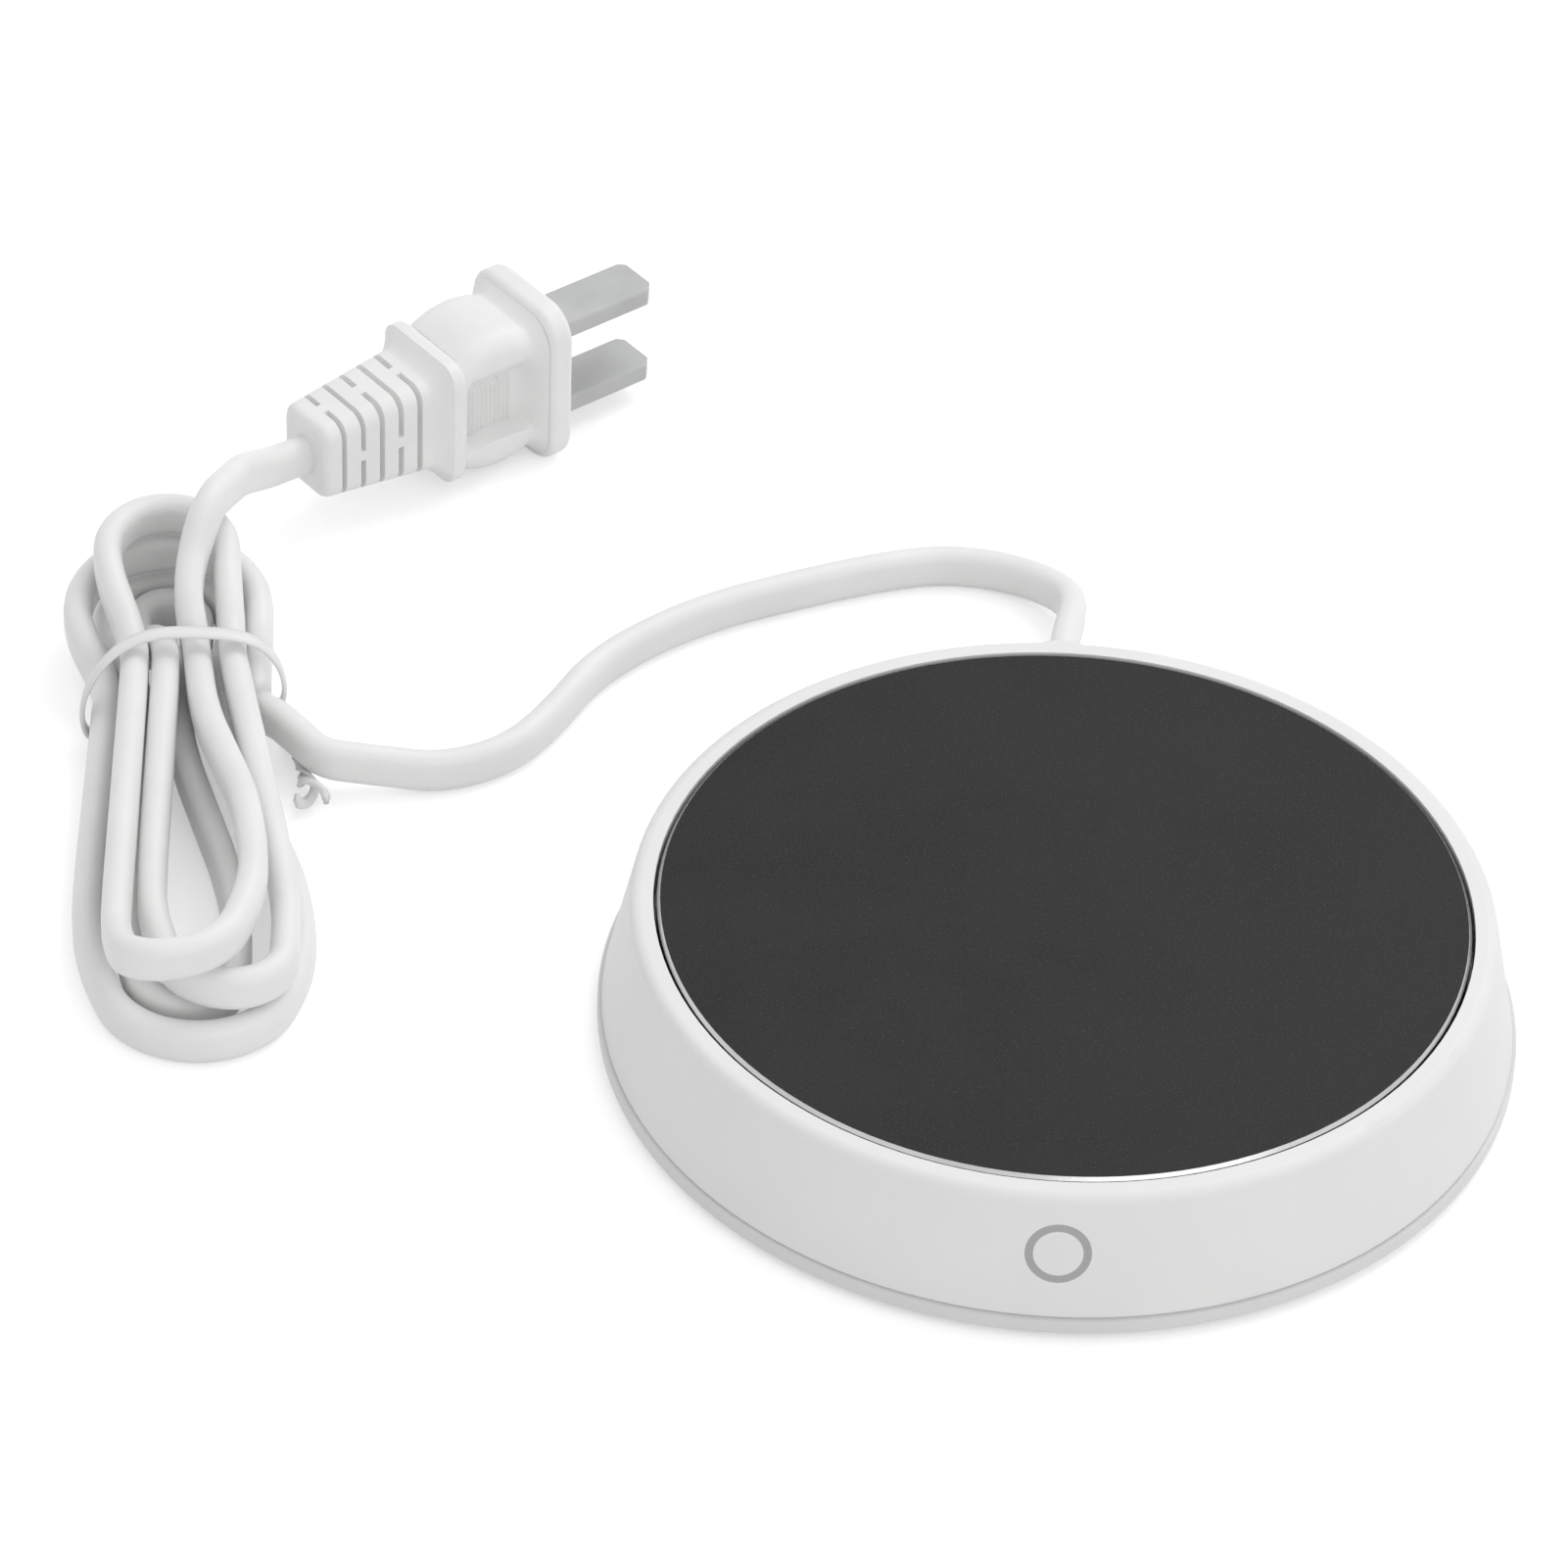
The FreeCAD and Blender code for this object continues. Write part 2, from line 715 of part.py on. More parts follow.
def round_wire(radius, centre, along):
    return Part.Wire([Part.Circle(centre, Vector(along).normalize(), radius).toShape()])


def bent_path(points, label):
    """Straight runs joined by tangent arcs as large as the runs allow."""
    edges = []
    radii = []
    last = points[0]
    for index in range(1, len(points) - 1):
        before, corner, after = points[index - 1], points[index], points[index + 1]
        come = (corner - before).normalize()
        go = (after - corner).normalize()
        shorter = min((corner - before).Length, (after - corner).Length)
        turn = come.getAngle(go)
        back_off = 0.45 * shorter
        radius = back_off / math.tan(turn / 2)
        start = corner - come * back_off
        end = corner + go * back_off
        inward = (go - come).normalize()
        centre = corner + inward * (radius / math.cos(turn / 2))
        middle = centre - inward * radius
        edges.append(Part.LineSegment(last, start).toShape())
        edges.append(Part.Arc(start, middle, end).toShape())
        radii.append(radius)
        last = end
    edges.append(Part.LineSegment(last, points[-1]).toShape())
    print(label, "bend radii", [round(radius, 1) for radius in radii])
    return Part.Wire(edges)


def swept(name, path, section, area):
    """A tube of one section along a path, with its volume compared with section times length."""
    shell = Part.BRepOffsetAPI.MakePipeShell(path)
    shell.add(section)
    shell.build()
    shell.makeSolid()
    shape = shell.shape()
    print(name, "length", round(path.Length, 1), "volume ratio",
          round(shape.Volume / (area * path.Length), 4))
    return solid(name, shape)


CORD_THICKNESS = of("cord_thickness").value
CORD_WIDTH = of("cord_width").value
CORD_AREA = math.pi * CORD_THICKNESS ** 2 / 4 + CORD_THICKNESS * (CORD_WIDTH - CORD_THICKNESS)
FLOOR_LEVEL = CORD_WIDTH / 2 + of("floor_gap").value
PLUG_LEVEL = of("flange_height").value / 2


def hank_point(along, across, height=0):
    """A point of the hank's own frame, in the row frame."""
    turn = FreeCAD.Rotation(Vector(0, 0, 1), HANK_HEADING)
    return HANK_AT + turn.multVec(Vector(along, -across, 0)) + Vector(0, 0, height)


def hank_direction(angle, rise=0):
    """A unit direction in the hank's frame: an angle to the right of its length, and a rise."""
    turn = FreeCAD.Rotation(Vector(0, 0, 1), HANK_HEADING)
    flat = Vector(math.cos(math.radians(angle)), -math.sin(math.radians(angle)), 0)
    flat = flat * math.cos(math.radians(rise))
    return turn.multVec(flat) + Vector(0, 0, math.sin(math.radians(rise)))


# Each loop of the hank, from the lead to the plug's end. Places across are in strand pitches from
# the hank's middle, right positive, heights in layers, and the two reaches in millimetres.
LOOPS = [
    {"right_waist": (2.6, 0), "top_right": (2.75, 1), "top_short": 0.0, "top_layer": 1,
     "top_left": (-2.75, 1), "left_waist": (-2.35, 1), "left_belly": (-3.3, 0),
     "bottom": (0.0, 0.0, 0), "right_belly": (3.3, 0)},
    {"right_waist": (1.25, 0), "top_right": (1.95, 0), "top_short": 0.0, "top_layer": 0,
     "top_left": (-1.95, 0), "left_waist": (-1.6, 0), "left_belly": (-2.1, 0),
     "bottom": (-0.1, 4.6, 0), "right_belly": (1.85, 0)},
    {"right_waist": (0.1, 0), "top_right": (0.95, 0), "top_short": 4.6, "top_layer": 0,
     "top_left": (-0.95, 0), "left_waist": (-0.35, 1), "left_belly": (-1.4, 1),
     "bottom": (0.6, 2.6, 1), "right_belly": (2.7, 1)},
    {"right_waist": (1.9, 1), "top_right": (1.8, 2), "top_short": 0.5, "top_layer": 2,
     "top_left": (-1.8, 2), "left_waist": (-1.35, 1), "left_belly": (-2.4, 1.4),
     "bottom": (-0.4, 2.2, 2.05), "right_belly": (1.65, 2.0)},
]
LAST_RIGHT_WAIST = (0.9, 1)
START = {"along": 52.0, "across": 21.6, "lift": 1.85, "angle": -87, "rise": 8}
ENTER = {"along": 59.2, "across": 14.5, "lift": 2.6, "angle": -42, "rise": 0}
OVER = {"along": 76.5, "across": 3.4, "layer": 2.25, "angle": 10, "rise": 26}
CREST = {"along": 86.0, "across": 6.8, "layer": 3.15, "angle": 20, "rise": -19}
TAIL_RUNS = (5.0, 8.0)
BELLY_SHARE = 1.15
WAIST_LIFT = 1.15


def hank_stations():
    """The places and directions that the cord passes through in the hank, one by one."""
    pitch = of("strand_pitch").value
    layer = of("layer_pitch").value
    waist = of("waist_at").value
    length = of("hank_length").value
    stations = []

    def add(along, across, height, angle, rise=0):
        stations.append((hank_point(along, across, height), hank_direction(angle, rise)))

    def waist_level(layers):
        return FLOOR_LEVEL + WAIST_LIFT + layers * layer

    def level(layers):
        return FLOOR_LEVEL + layers * layer

    for mark in (START, ENTER):
        add(mark["along"], mark["across"], FLOOR_LEVEL + mark["lift"], mark["angle"], mark["rise"])
    for loop in LOOPS:
        top_width = loop["top_right"][0] * pitch
        top = length - loop["top_short"]
        shoulder = top - BELLY_SHARE * top_width
        across, layers = loop["right_waist"]
        add(waist, across * pitch, waist_level(layers), 0)
        add(shoulder, top_width, level(loop["top_right"][1]), 0)
        add(top, 0, level(loop["top_layer"]), -90)
        add(shoulder, loop["top_left"][0] * pitch, level(loop["top_left"][1]), 180)
        across, layers = loop["left_waist"]
        add(waist, across * pitch, waist_level(layers), 180)
        bottom_across, bottom_lift, bottom_layers = loop["bottom"]
        left, left_layers = loop["left_belly"]
        right, right_layers = loop["right_belly"]
        half = (right - left) / 2 * pitch
        belly = bottom_lift + BELLY_SHARE * half
        add(belly, left * pitch, level(left_layers), 180)
        add(bottom_lift, bottom_across * pitch, level(bottom_layers), 90)
        add(belly, right * pitch, level(right_layers), 0)
    across, layers = LAST_RIGHT_WAIST
    add(waist, across * pitch, waist_level(layers), 0)
    add(OVER["along"], OVER["across"], level(OVER["layer"]), OVER["angle"], OVER["rise"])
    add(CREST["along"], CREST["across"], level(CREST["layer"]), CREST["angle"], CREST["rise"])
    return stations


def biarc(start, start_way, end, end_way):
    """Two tangent arcs between two places with given directions."""
    gap = end - start
    ways = start_way + end_way
    spread = 2 * (1 - start_way.dot(end_way))
    along = gap.dot(ways)
    if spread < 1e-6:
        reach = gap.dot(gap) / (2 * along)
    else:
        reach = (-along + math.sqrt(along ** 2 + spread * gap.dot(gap))) / spread
    joint = (start + start_way * reach + end - end_way * reach) * 0.5
    return [arc_from(start, start_way, joint), arc_from(end, -end_way, joint)[::-1]]


def arc_from(start, way, end):
    """Start, middle and end of the arc that leaves start along way and reaches end."""
    chord = end - start
    angle = way.getAngle(chord)
    if angle < 1e-5:
        return [start, start + chord * 0.5, end]
    side = (way - chord * (way.dot(chord) / chord.dot(chord))).normalize()
    rise = chord.Length / 2 * math.tan(angle / 2)
    return [start, start + chord * 0.5 + side * rise, end]


def hank_path():
    """The whole path of the hank, with a straight stretch of one cord width at each end."""
    stations = hank_stations()
    first, first_way = stations[0]
    last, last_way = stations[-1]
    start = first - first_way * CORD_WIDTH
    end = last + last_way * CORD_WIDTH
    edges = [Part.LineSegment(start, first).toShape()]
    for (here, way), (there, next_way) in zip(stations, stations[1:]):
        for low, middle, high in biarc(here, way, there, next_way):
            if low.distanceToLine(middle, high - middle) < 1e-6:
                edges.append(Part.LineSegment(low, high).toShape())
            else:
                edges.append(Part.Arc(low, middle, high).toShape())
    edges.append(Part.LineSegment(last, end).toShape())
    return Part.Wire(edges), start, end, last_way


def least_gap(path):
    """The least gap between the turns, from points along the three cores of the flat cord."""
    step = 1.0
    apart = 12.0
    count = int(path.Length / step)
    points = []
    for edge in path.Edges:
        share = max(2, int(edge.Length / step))
        points += edge.discretize(share)[:-1]
    cores = CORD_WIDTH / 2 - CORD_THICKNESS / 2
    travelled = [0.0]
    for before, after in zip(points, points[1:]):
        travelled.append(travelled[-1] + (after - before).Length)
    least = (1e9, None, None)
    for first in range(len(points)):
        for second in range(first + 1, len(points)):
            if travelled[second] - travelled[first] < apart:
                continue
            gap = points[second] - points[first]
            if abs(gap.x) > 6 or abs(gap.y) > 6:
                continue
            upright = max(0.0, abs(gap.z) - 2 * cores)
            reach = math.hypot(math.hypot(gap.x, gap.y), upright)
            if reach < least[0]:
                least = (reach, points[first], points[second])
    print("hank points", count, "least gap", round(least[0] - CORD_THICKNESS, 2), least[1], least[2])


def make_hank():
    """The spare cord, folded into four loops that are drawn in at the tie."""
    path, start, end, end_way = hank_path()
    first_way = hank_stations()[0][1]
    shell = Part.BRepOffsetAPI.MakePipeShell(path)
    shell.add(oval_wire(CORD_THICKNESS, CORD_WIDTH, start, first_way))
    shell.build()
    shell.makeSolid()
    shape = shell.shape()
    print("cord_hank length", round(path.Length, 1), "volume ratio",
          round(shape.Volume / (CORD_AREA * path.Length), 4))
    least_gap(path)
    solid("cord_hank", shape)
    return start, first_way, end, end_way


# The lead from the warmer to the hank, across the table.
LEAD_ROUTE = [
    Vector(0.0, bush_outer_end.value, of("exit_level").value),
    Vector(0.0, bush_outer_end.value + 6.0, of("exit_level").value), Vector(-1.2, 82.5, 4.8),
    Vector(-6.0, 88.0, 3.3), Vector(-13.0, 90.5, 2.95), Vector(-21.0, 89.4, 2.95),
    Vector(-34.0, 84.2, 2.95), Vector(-49.0, 76.6, 2.95), Vector(-61.2, 65.2, 2.95),
    Vector(-66.8, 52.5, 2.95), Vector(-72.0, 44.8, 2.95)]


def make_lead(hank_start, hank_way):
    route = LEAD_ROUTE + [hank_start - hank_way * 7.5, hank_start]
    path = bent_path(route, "cord_lead")
    section = oval_wire(
        CORD_THICKNESS, CORD_WIDTH, LEAD_ROUTE[0], LEAD_ROUTE[1] - LEAD_ROUTE[0])
    swept("cord_lead", path, section, CORD_AREA)


def make_tail(hank_end, way):
    """The last stretch, down from the top of the hank into the plug."""
    heading = Vector(
        math.cos(math.radians(PLUG_HEADING)), math.sin(math.radians(PLUG_HEADING)), 0)
    entry = PLUG_AT + Vector(0, 0, PLUG_LEVEL)
    first = hank_end + way * TAIL_RUNS[0]
    last = entry - heading * TAIL_RUNS[1]
    points = [hank_end, first, last, entry]
    path = bent_path(points, "cord_tail")
    section = oval_wire(CORD_THICKNESS, CORD_WIDTH, hank_end, way)
    swept("cord_tail", path, section, CORD_AREA)


def make_tie():
    """The flat tie round the waist of the hank, with its two ends twisted together."""
    pitch = of("strand_pitch").value
    layer = of("layer_pitch").value
    gap = of("tie_gap").value
    thick = of("tie_thickness").value
    half = CORD_THICKNESS / 2 + gap
    low = FLOOR_LEVEL + WAIST_LIFT - CORD_WIDTH / 2 - gap
    high = FLOOR_LEVEL + WAIST_LIFT + layer + CORD_WIDTH / 2 + gap
    left = min(loop["left_waist"][0] for loop in LOOPS) * pitch - half
    right = max(loop["right_waist"][0] for loop in LOOPS) * pitch + half
    tie_at = of("waist_at").value - of("tie_width").value / 2

    def outline(grow, radius):
        """A rounded outline in the plane across the hank, grown outwards."""
        corners = [
            (left - grow, low - grow), (right + grow, low - grow), (right + grow, high + grow),
            (left - grow, high + grow)]
        edges = []
        last = None
        first = None
        for index, (across, height) in enumerate(corners):
            before = corners[index - 1]
            after = corners[(index + 1) % 4]
            corner = hank_point(tie_at, across, height)
            come = (corner - hank_point(tie_at, *before)).normalize()
            go = (hank_point(tie_at, *after) - corner).normalize()
            start = corner - come * radius
            end = corner + go * radius
            middle = corner + (go - come) * (radius * (1 - math.sqrt(0.5)))
            if last is not None:
                edges.append(Part.LineSegment(last, start).toShape())
            else:
                first = start
            edges.append(Part.Arc(start, middle, end).toShape())
            last = end
        edges.append(Part.LineSegment(last, first).toShape())
        return Part.Wire(edges)

    ring = Part.Face(outline(thick, 2.0 + thick)).cut(Part.Face(outline(0, 2.0)))
    band = ring.extrude(hank_direction(0) * of("tie_width").value)
    twist = of("tie_twist_radius").value
    tail_points = [
        hank_point(tie_at + 0.8, right + 1.1, 2.3), hank_point(tie_at - 5.0, right + 2.4, 1.3),
        hank_point(tie_at - 13.0, right + 2.6, twist),
        hank_point(tie_at - 21.0, right + 4.4, twist)]
    path = bent_path(tail_points, "cord_tie")
    start_way = tail_points[1] - tail_points[0]
    shell = Part.BRepOffsetAPI.MakePipeShell(path)
    shell.add(round_wire(twist, tail_points[0], start_way))
    shell.build()
    shell.makeSolid()
    solid("cord_tie", band.fuse(shell.shape()).removeSplitter())


def make_strain_relief():
    """The tapered bush where the cord leaves the case, gripped in the wall by its groove."""
    wall_out = slope_radius(of("exit_level")).value
    outer = bush_outer_end.value
    inner = bush_inner_end.value
    level = of("exit_level").value
    wall = of("case_wall").value

    def rectangle(width, height, at, corner):
        points = [
            (-width / 2, -height / 2), (width / 2, -height / 2), (width / 2, height / 2),
            (-width / 2, height / 2)]
        corners = [Vector(x, at, level + z) for x, z in points]
        edges = []
        for index, point in enumerate(corners):
            come = (point - corners[index - 1]).normalize()
            go = (corners[(index + 1) % 4] - point).normalize()
            start = point - come * corner
            end = point + go * corner
            middle = point + (go - come) * (corner * (1 - math.sqrt(0.5)))
            edges.append(Part.Arc(start, middle, end).toShape())
            following = corners[(index + 1) % 4]
            ahead = following - (following - point).normalize() * corner
            edges.append(Part.LineSegment(end, ahead).toShape())
        return Part.Wire(edges)

    root_width = of("bush_root_width").value
    root_height = of("bush_root_height").value
    groove = of("bush_groove").value
    neck_width = root_width - 2 * groove
    neck_height = root_height - 2 * groove
    corner = 1.2
    outside = Part.makeLoft([
        rectangle(root_width, root_height, of("case_radius").value + 0.1, corner),
        rectangle(of("bush_tip_width").value, of("bush_tip_height").value, outer, corner)],
        True, True)
    neck = Part.Face(rectangle(neck_width, neck_height, wall_out - wall - 1.2, corner * 0.5))
    neck = neck.extrude(Vector(0, of("case_radius").value + 0.2 - (wall_out - wall - 1.2), 0))
    inside = Part.Face(rectangle(neck_width, neck_height, inner, corner * 0.5))
    inside = inside.extrude(Vector(0, wall_out - wall - 1.2 - inner, 0))
    solid("strain_relief", outside.fuse([neck, inside]).removeSplitter())


def make_cord_clamp():
    """The bar across the two posts that grips the bush from above, inside the case."""
    seat = of("exit_level") - of("cord_width") / 2
    middle = bush_inner_end - of("cord_clamp_length") / 2
    bar = box(
        "clamp_bar", of("cord_clamp_width"), of("cord_clamp_length"),
        of("cord_width") + of("cord_clamp_roof"), 0,
        middle, seat)
    channel = box(
        "clamp_channel", of("cord_thickness") + 0.6, of("cord_clamp_length") + 2,
        of("cord_width") + 0.4, 0, middle, seat - 0.2)
    cut("cord_clamp", bar, channel)


def make_mains_wires():
    """The two conductors from the clamped cord to the back edge of the board."""
    level = (of("board_level") + of("board_thickness") / 2).value
    radius = of("wire_radius").value
    start = bush_inner_end.value
    end = -board_back.value
    straight = of("wire_straight").value
    slant = of("wire_slant").value
    for side, sign in (("left", -1), ("right", 1)):
        near = sign * (radius + of("wire_gap").value / 2)
        far = sign * of("wire_spread").value
        points = [
            Vector(near, start, level), Vector(near, start - straight, level),
            Vector(far, start - straight - slant, level), Vector(far, end, level)]
        path = bent_path(points, "mains_wire_" + side)
        shell = Part.BRepOffsetAPI.MakePipeShell(path)
        shell.add(round_wire(radius, points[0], points[1] - points[0]))
        shell.build()
        shell.makeSolid()
        solid("mains_wire_" + side, shell.shape())


def plug_place():
    """Where the plug lies: on the narrow side of its flange, one blade above the other."""
    turn = FreeCAD.Rotation(Vector(0, 0, 1), PLUG_HEADING)
    return FreeCAD.Placement(PLUG_AT + Vector(0, 0, PLUG_LEVEL), turn)


def rounded_block(start, length, width, height, corner, edge):
    """A block along the plug with rounded long corners and softened rims."""
    block = Part.makeBox(length, width, height, Vector(start, -width / 2, -height / 2))
    long_edges = [
        item for item in block.Edges
        if abs(item.tangentAt(item.FirstParameter).x) > 0.99]
    block = block.makeFillet(corner, long_edges)
    rims = [
        item for item in block.Edges
        if abs(item.CenterOfMass.x - start) < 1e-4
        or abs(item.CenterOfMass.x - start - length) < 1e-4]
    return block.makeFillet(edge, rims) if edge > 0 else block


def relief_slots(length, tip_width, tip_height, root_width, root_height):
    """The staggered slots of the plug's strain relief, with a bridge left in each."""
    slots = []
    for index in range(SLOT_COUNT):
        at = of("relief_slot_start").value + index * of("relief_slot_pitch").value
        share = at / length
        width = tip_width + (root_width - tip_width) * share
        height = tip_height + (root_height - tip_height) * share
        deep = of("relief_slot_depth").value
        slot_width = of("relief_slot_width").value
        bridge = of("relief_bridge").value
        around_it = Part.makeBox(
            slot_width, width + 4, height + 4,
            Vector(at - slot_width / 2, -width / 2 - 2, -height / 2 - 2))
        core = Part.makeBox(
            slot_width, width - 2 * deep, height - 2 * deep,
            Vector(at - slot_width / 2, -width / 2 + deep, -height / 2 + deep))
        if index % 2 == 0:
            keep = Part.makeBox(
                slot_width, bridge, height + 6,
                Vector(at - slot_width / 2, -bridge / 2, -height / 2 - 3))
        else:
            keep = Part.makeBox(
                slot_width, width + 6, bridge,
                Vector(at - slot_width / 2, -width / 2 - 3, -bridge / 2))
        slots.append(around_it.cut(core).cut(keep))
    return slots


def make_plug_body():
    """The moulded plug: slotted strain relief, collar, domed grip with ribs, and flange."""
    length = of("relief_length").value
    sizes = [of(name).value for name in (
        "relief_tip_width", "relief_tip_height", "relief_root_width", "relief_root_height")]
    corner = of("relief_corner").value
    collar = of("collar_length").value
    grip = of("grip_length").value
    edge = of("edge_round").value

    def section(at, width, height):
        block = Part.makeBox(1, width, height, Vector(at, -width / 2, -height / 2))
        long_edges = [
            item for item in block.Edges
            if abs(item.tangentAt(item.FirstParameter).x) > 0.99]
        block = block.makeFillet(corner, long_edges)
        face = [item for item in block.Faces if abs(item.CenterOfMass.x - at) < 1e-6][0]
        return face.OuterWire

    relief = Part.makeLoft(
        [section(0, sizes[0], sizes[1]), section(length, sizes[2], sizes[3])], True, True)
    for slot in relief_slots(length, *sizes):
        relief = relief.cut(slot)
    collar_block = rounded_block(
        length, collar, of("collar_width").value, of("collar_height").value,
        of("collar_corner").value, edge)
    flange_start = length + collar + grip
    flange_block = rounded_block(
        flange_start, of("flange_length").value, of("flange_width").value,
        of("flange_height").value, of("flange_corner").value, edge)
    grip_width = of("grip_width").value
    middle = length + collar + grip / 2
    dome = Part.makeCylinder(
        of("grip_radius").value, grip_width, Vector(middle, -grip_width / 2, 0), Vector(0, 1, 0))
    rims = [item for item in dome.Edges if isinstance(item.Curve, Part.Circle)]
    dome = dome.makeFillet(of("grip_round").value, rims)
    limits = Part.makeBox(
        grip + collar + 2, grip_width + 2, of("flange_height").value * 2,
        Vector(length + collar / 2, -grip_width / 2 - 1, -of("flange_height").value))
    dome = dome.common(limits)
    body = relief.fuse([collar_block, dome, flange_block]).removeSplitter()
    recess_length = of("recess_length").value
    recess_height = of("recess_height").value
    depth = of("recess_depth").value
    for sign in (-1, 1):
        outer = grip_width / 2
        recess = Part.makeBox(
            recess_length, depth, recess_height,
            Vector(middle - recess_length / 2, sign * outer - (depth if sign > 0 else 0),
                   -recess_height / 2))
        body = body.cut(recess)
        ribs = []
        for index in range(RIB_COUNT):
            at = middle - recess_length / 2 + (index + 0.5) * recess_length / RIB_COUNT
            floor = sign * (outer - depth)
            low = floor - 0.1 if sign > 0 else floor - of("rib_height").value
            ribs.append(Part.makeBox(
                of("rib_width").value, of("rib_height").value + 0.1, recess_height,
                Vector(at - of("rib_width").value / 2, low, -recess_height / 2)))
        body = body.fuse(ribs)
    for sign in (-1, 1):
        seat = blade_box(sign, -of("blade_root").value, 0)
        body = body.cut(seat)
    solid("plug_body", body, plug_place())


def blade_start():
    return sum(of(name).value for name in (
        "relief_length", "collar_length", "grip_length", "flange_length"))


def blade_box(sign, start, end, grow=0.0):
    """A flat blade's block, from start to end past the plug's face."""
    width = of("blade_width").value + 2 * grow
    thick = of("blade_thickness").value + 2 * grow
    level = sign * of("blade_spacing").value / 2
    return Part.makeBox(
        end - start, width, thick, Vector(blade_start() + start, -width / 2, level - thick / 2))


def make_blades():
    """The two flat blades with their holes and bevelled tips."""
    for name, sign in (("blade_upper", 1), ("blade_lower", -1)):
        length = of("blade_length").value
        blade = blade_box(sign, -of("blade_root").value, length)
        tip = [
            item for item in blade.Edges
            if abs(item.CenterOfMass.x - blade_start() - length) < 1e-4
            and abs(item.tangentAt(item.FirstParameter).y) > 0.99]
        blade = blade.makeChamfer(of("blade_thickness").value * 0.3, tip)
        level = sign * of("blade_spacing").value / 2
        hole = Part.makeCylinder(
            of("blade_hole_radius").value, 6,
            Vector(blade_start() + length - of("blade_hole_from_tip").value, 0, level - 3))
        solid(name, blade.cut(hole), plug_place())


def make_sleeves():
    """The clear sleeves that cover the blades and pull off along them."""
    for name, sign in (("sleeve_upper", 1), ("sleeve_lower", -1)):
        wall = of("sleeve_wall").value
        clear = of("sleeve_clearance").value
        length = of("blade_length").value
        face_gap = 0.1
        outer = blade_box(sign, face_gap, length + clear + of("sleeve_tip").value, wall + clear)
        side_corners = [
            item for item in outer.Edges
            if abs(item.CenterOfMass.x - outer.BoundBox.XMax) < 1e-4
            and abs(item.tangentAt(item.FirstParameter).z) > 0.99]
        outer = outer.makeChamfer(1.2, side_corners)
        long_edges = [
            item for item in outer.Edges
            if abs(item.tangentAt(item.FirstParameter).x) > 0.99]
        outer = outer.makeFillet(of("sleeve_round").value, long_edges)
        hollow = blade_box(sign, 0, length + clear, clear)
        solid(name, outer.cut(hollow), plug_place())


NODES = [
    "top_shell", "bottom_cover", "touch_ring", "heating_plate", "plate_gasket", "heater_element",
    "insulation_pad", "heater_clamp", "thermal_cutoff", "temperature_sensor", "circuit_board",
    "power_relay", "capacitor", "touch_board", "indicator_led", "touch_contact",
    "heater_lead_left", "heater_lead_right", "strain_relief", "cord_clamp", "mains_wire_left",
    "mains_wire_right", "cord_lead", "cord_hank", "cord_tail", "cord_tie", "plug_body",
    "blade_upper", "blade_lower", "sleeve_upper", "sleeve_lower"]
NODES += ["rubber_foot_%d" % (index + 1) for index in range(FOOT_COUNT)]
NODES += ["case_screw_%d" % (index + 1) for index in range(SCREW_COUNT)]
NODES += ["clamp_screw_%d" % (index + 1) for index in range(STUD_COUNT)]


def build():
    make_touch_ring()
    make_top_shell()
    make_bottom_cover()
    make_feet()
    make_case_screws()
    make_heating_plate()
    make_gasket()
    make_heater()
    make_insulation()
    make_heater_clamp()
    make_clamp_screws()
    make_thermostat()
    make_sensor()
    face = make_board()
    make_touch_contact(face)
    make_heater_leads()
    make_strain_relief()
    make_cord_clamp()
    make_mains_wires()
    start, start_way, end, end_way = make_hank()
    make_lead(start, start_way)
    make_tail(end, end_way)
    make_tie()
    make_plug_body()
    make_blades()
    make_sleeves()
    doc.recompute()


def write_parts():
    """Checks every object and writes each sub-part."""
    for thing in doc.Objects:
        state = thing.State
        if "Invalid" in state or "Error" in state:
            raise RuntimeError("%s is %s" % (thing.Name, state))
    os.makedirs("parts", exist_ok=True)
    for name in NODES:
        thing = doc.getObject(name)
        thing.Label = name
        shape = thing.Shape
        if shape.isNull() or not shape.isValid():
            raise RuntimeError("%s has no valid shape" % name)
        shape.exportStep("parts/%s.step" % name)
        bounds = shape.BoundBox
        print("%-20s %2d solid %9.1f mm3  z %.2f to %.2f" % (
            name, len(shape.Solids), shape.Volume, bounds.ZMin, bounds.ZMax))


build()
write_parts()
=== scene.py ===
import json
import math

import bmesh
import bpy
from mathutils import Matrix, Vector


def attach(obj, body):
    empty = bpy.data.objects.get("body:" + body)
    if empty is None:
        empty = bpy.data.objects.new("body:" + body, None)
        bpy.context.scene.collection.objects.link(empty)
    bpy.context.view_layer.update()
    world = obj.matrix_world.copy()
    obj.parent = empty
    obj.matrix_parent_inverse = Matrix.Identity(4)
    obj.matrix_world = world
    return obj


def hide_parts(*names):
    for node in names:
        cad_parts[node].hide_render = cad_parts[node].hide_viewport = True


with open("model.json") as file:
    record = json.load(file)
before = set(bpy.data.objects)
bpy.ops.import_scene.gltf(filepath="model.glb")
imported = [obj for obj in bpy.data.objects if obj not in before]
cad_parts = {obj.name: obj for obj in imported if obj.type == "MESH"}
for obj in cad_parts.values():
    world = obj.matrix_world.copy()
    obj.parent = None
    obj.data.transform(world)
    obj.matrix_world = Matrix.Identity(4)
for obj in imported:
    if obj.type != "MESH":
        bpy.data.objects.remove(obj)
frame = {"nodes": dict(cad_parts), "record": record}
scene = bpy.context.scene
nodes = frame["nodes"]
MM = 0.001


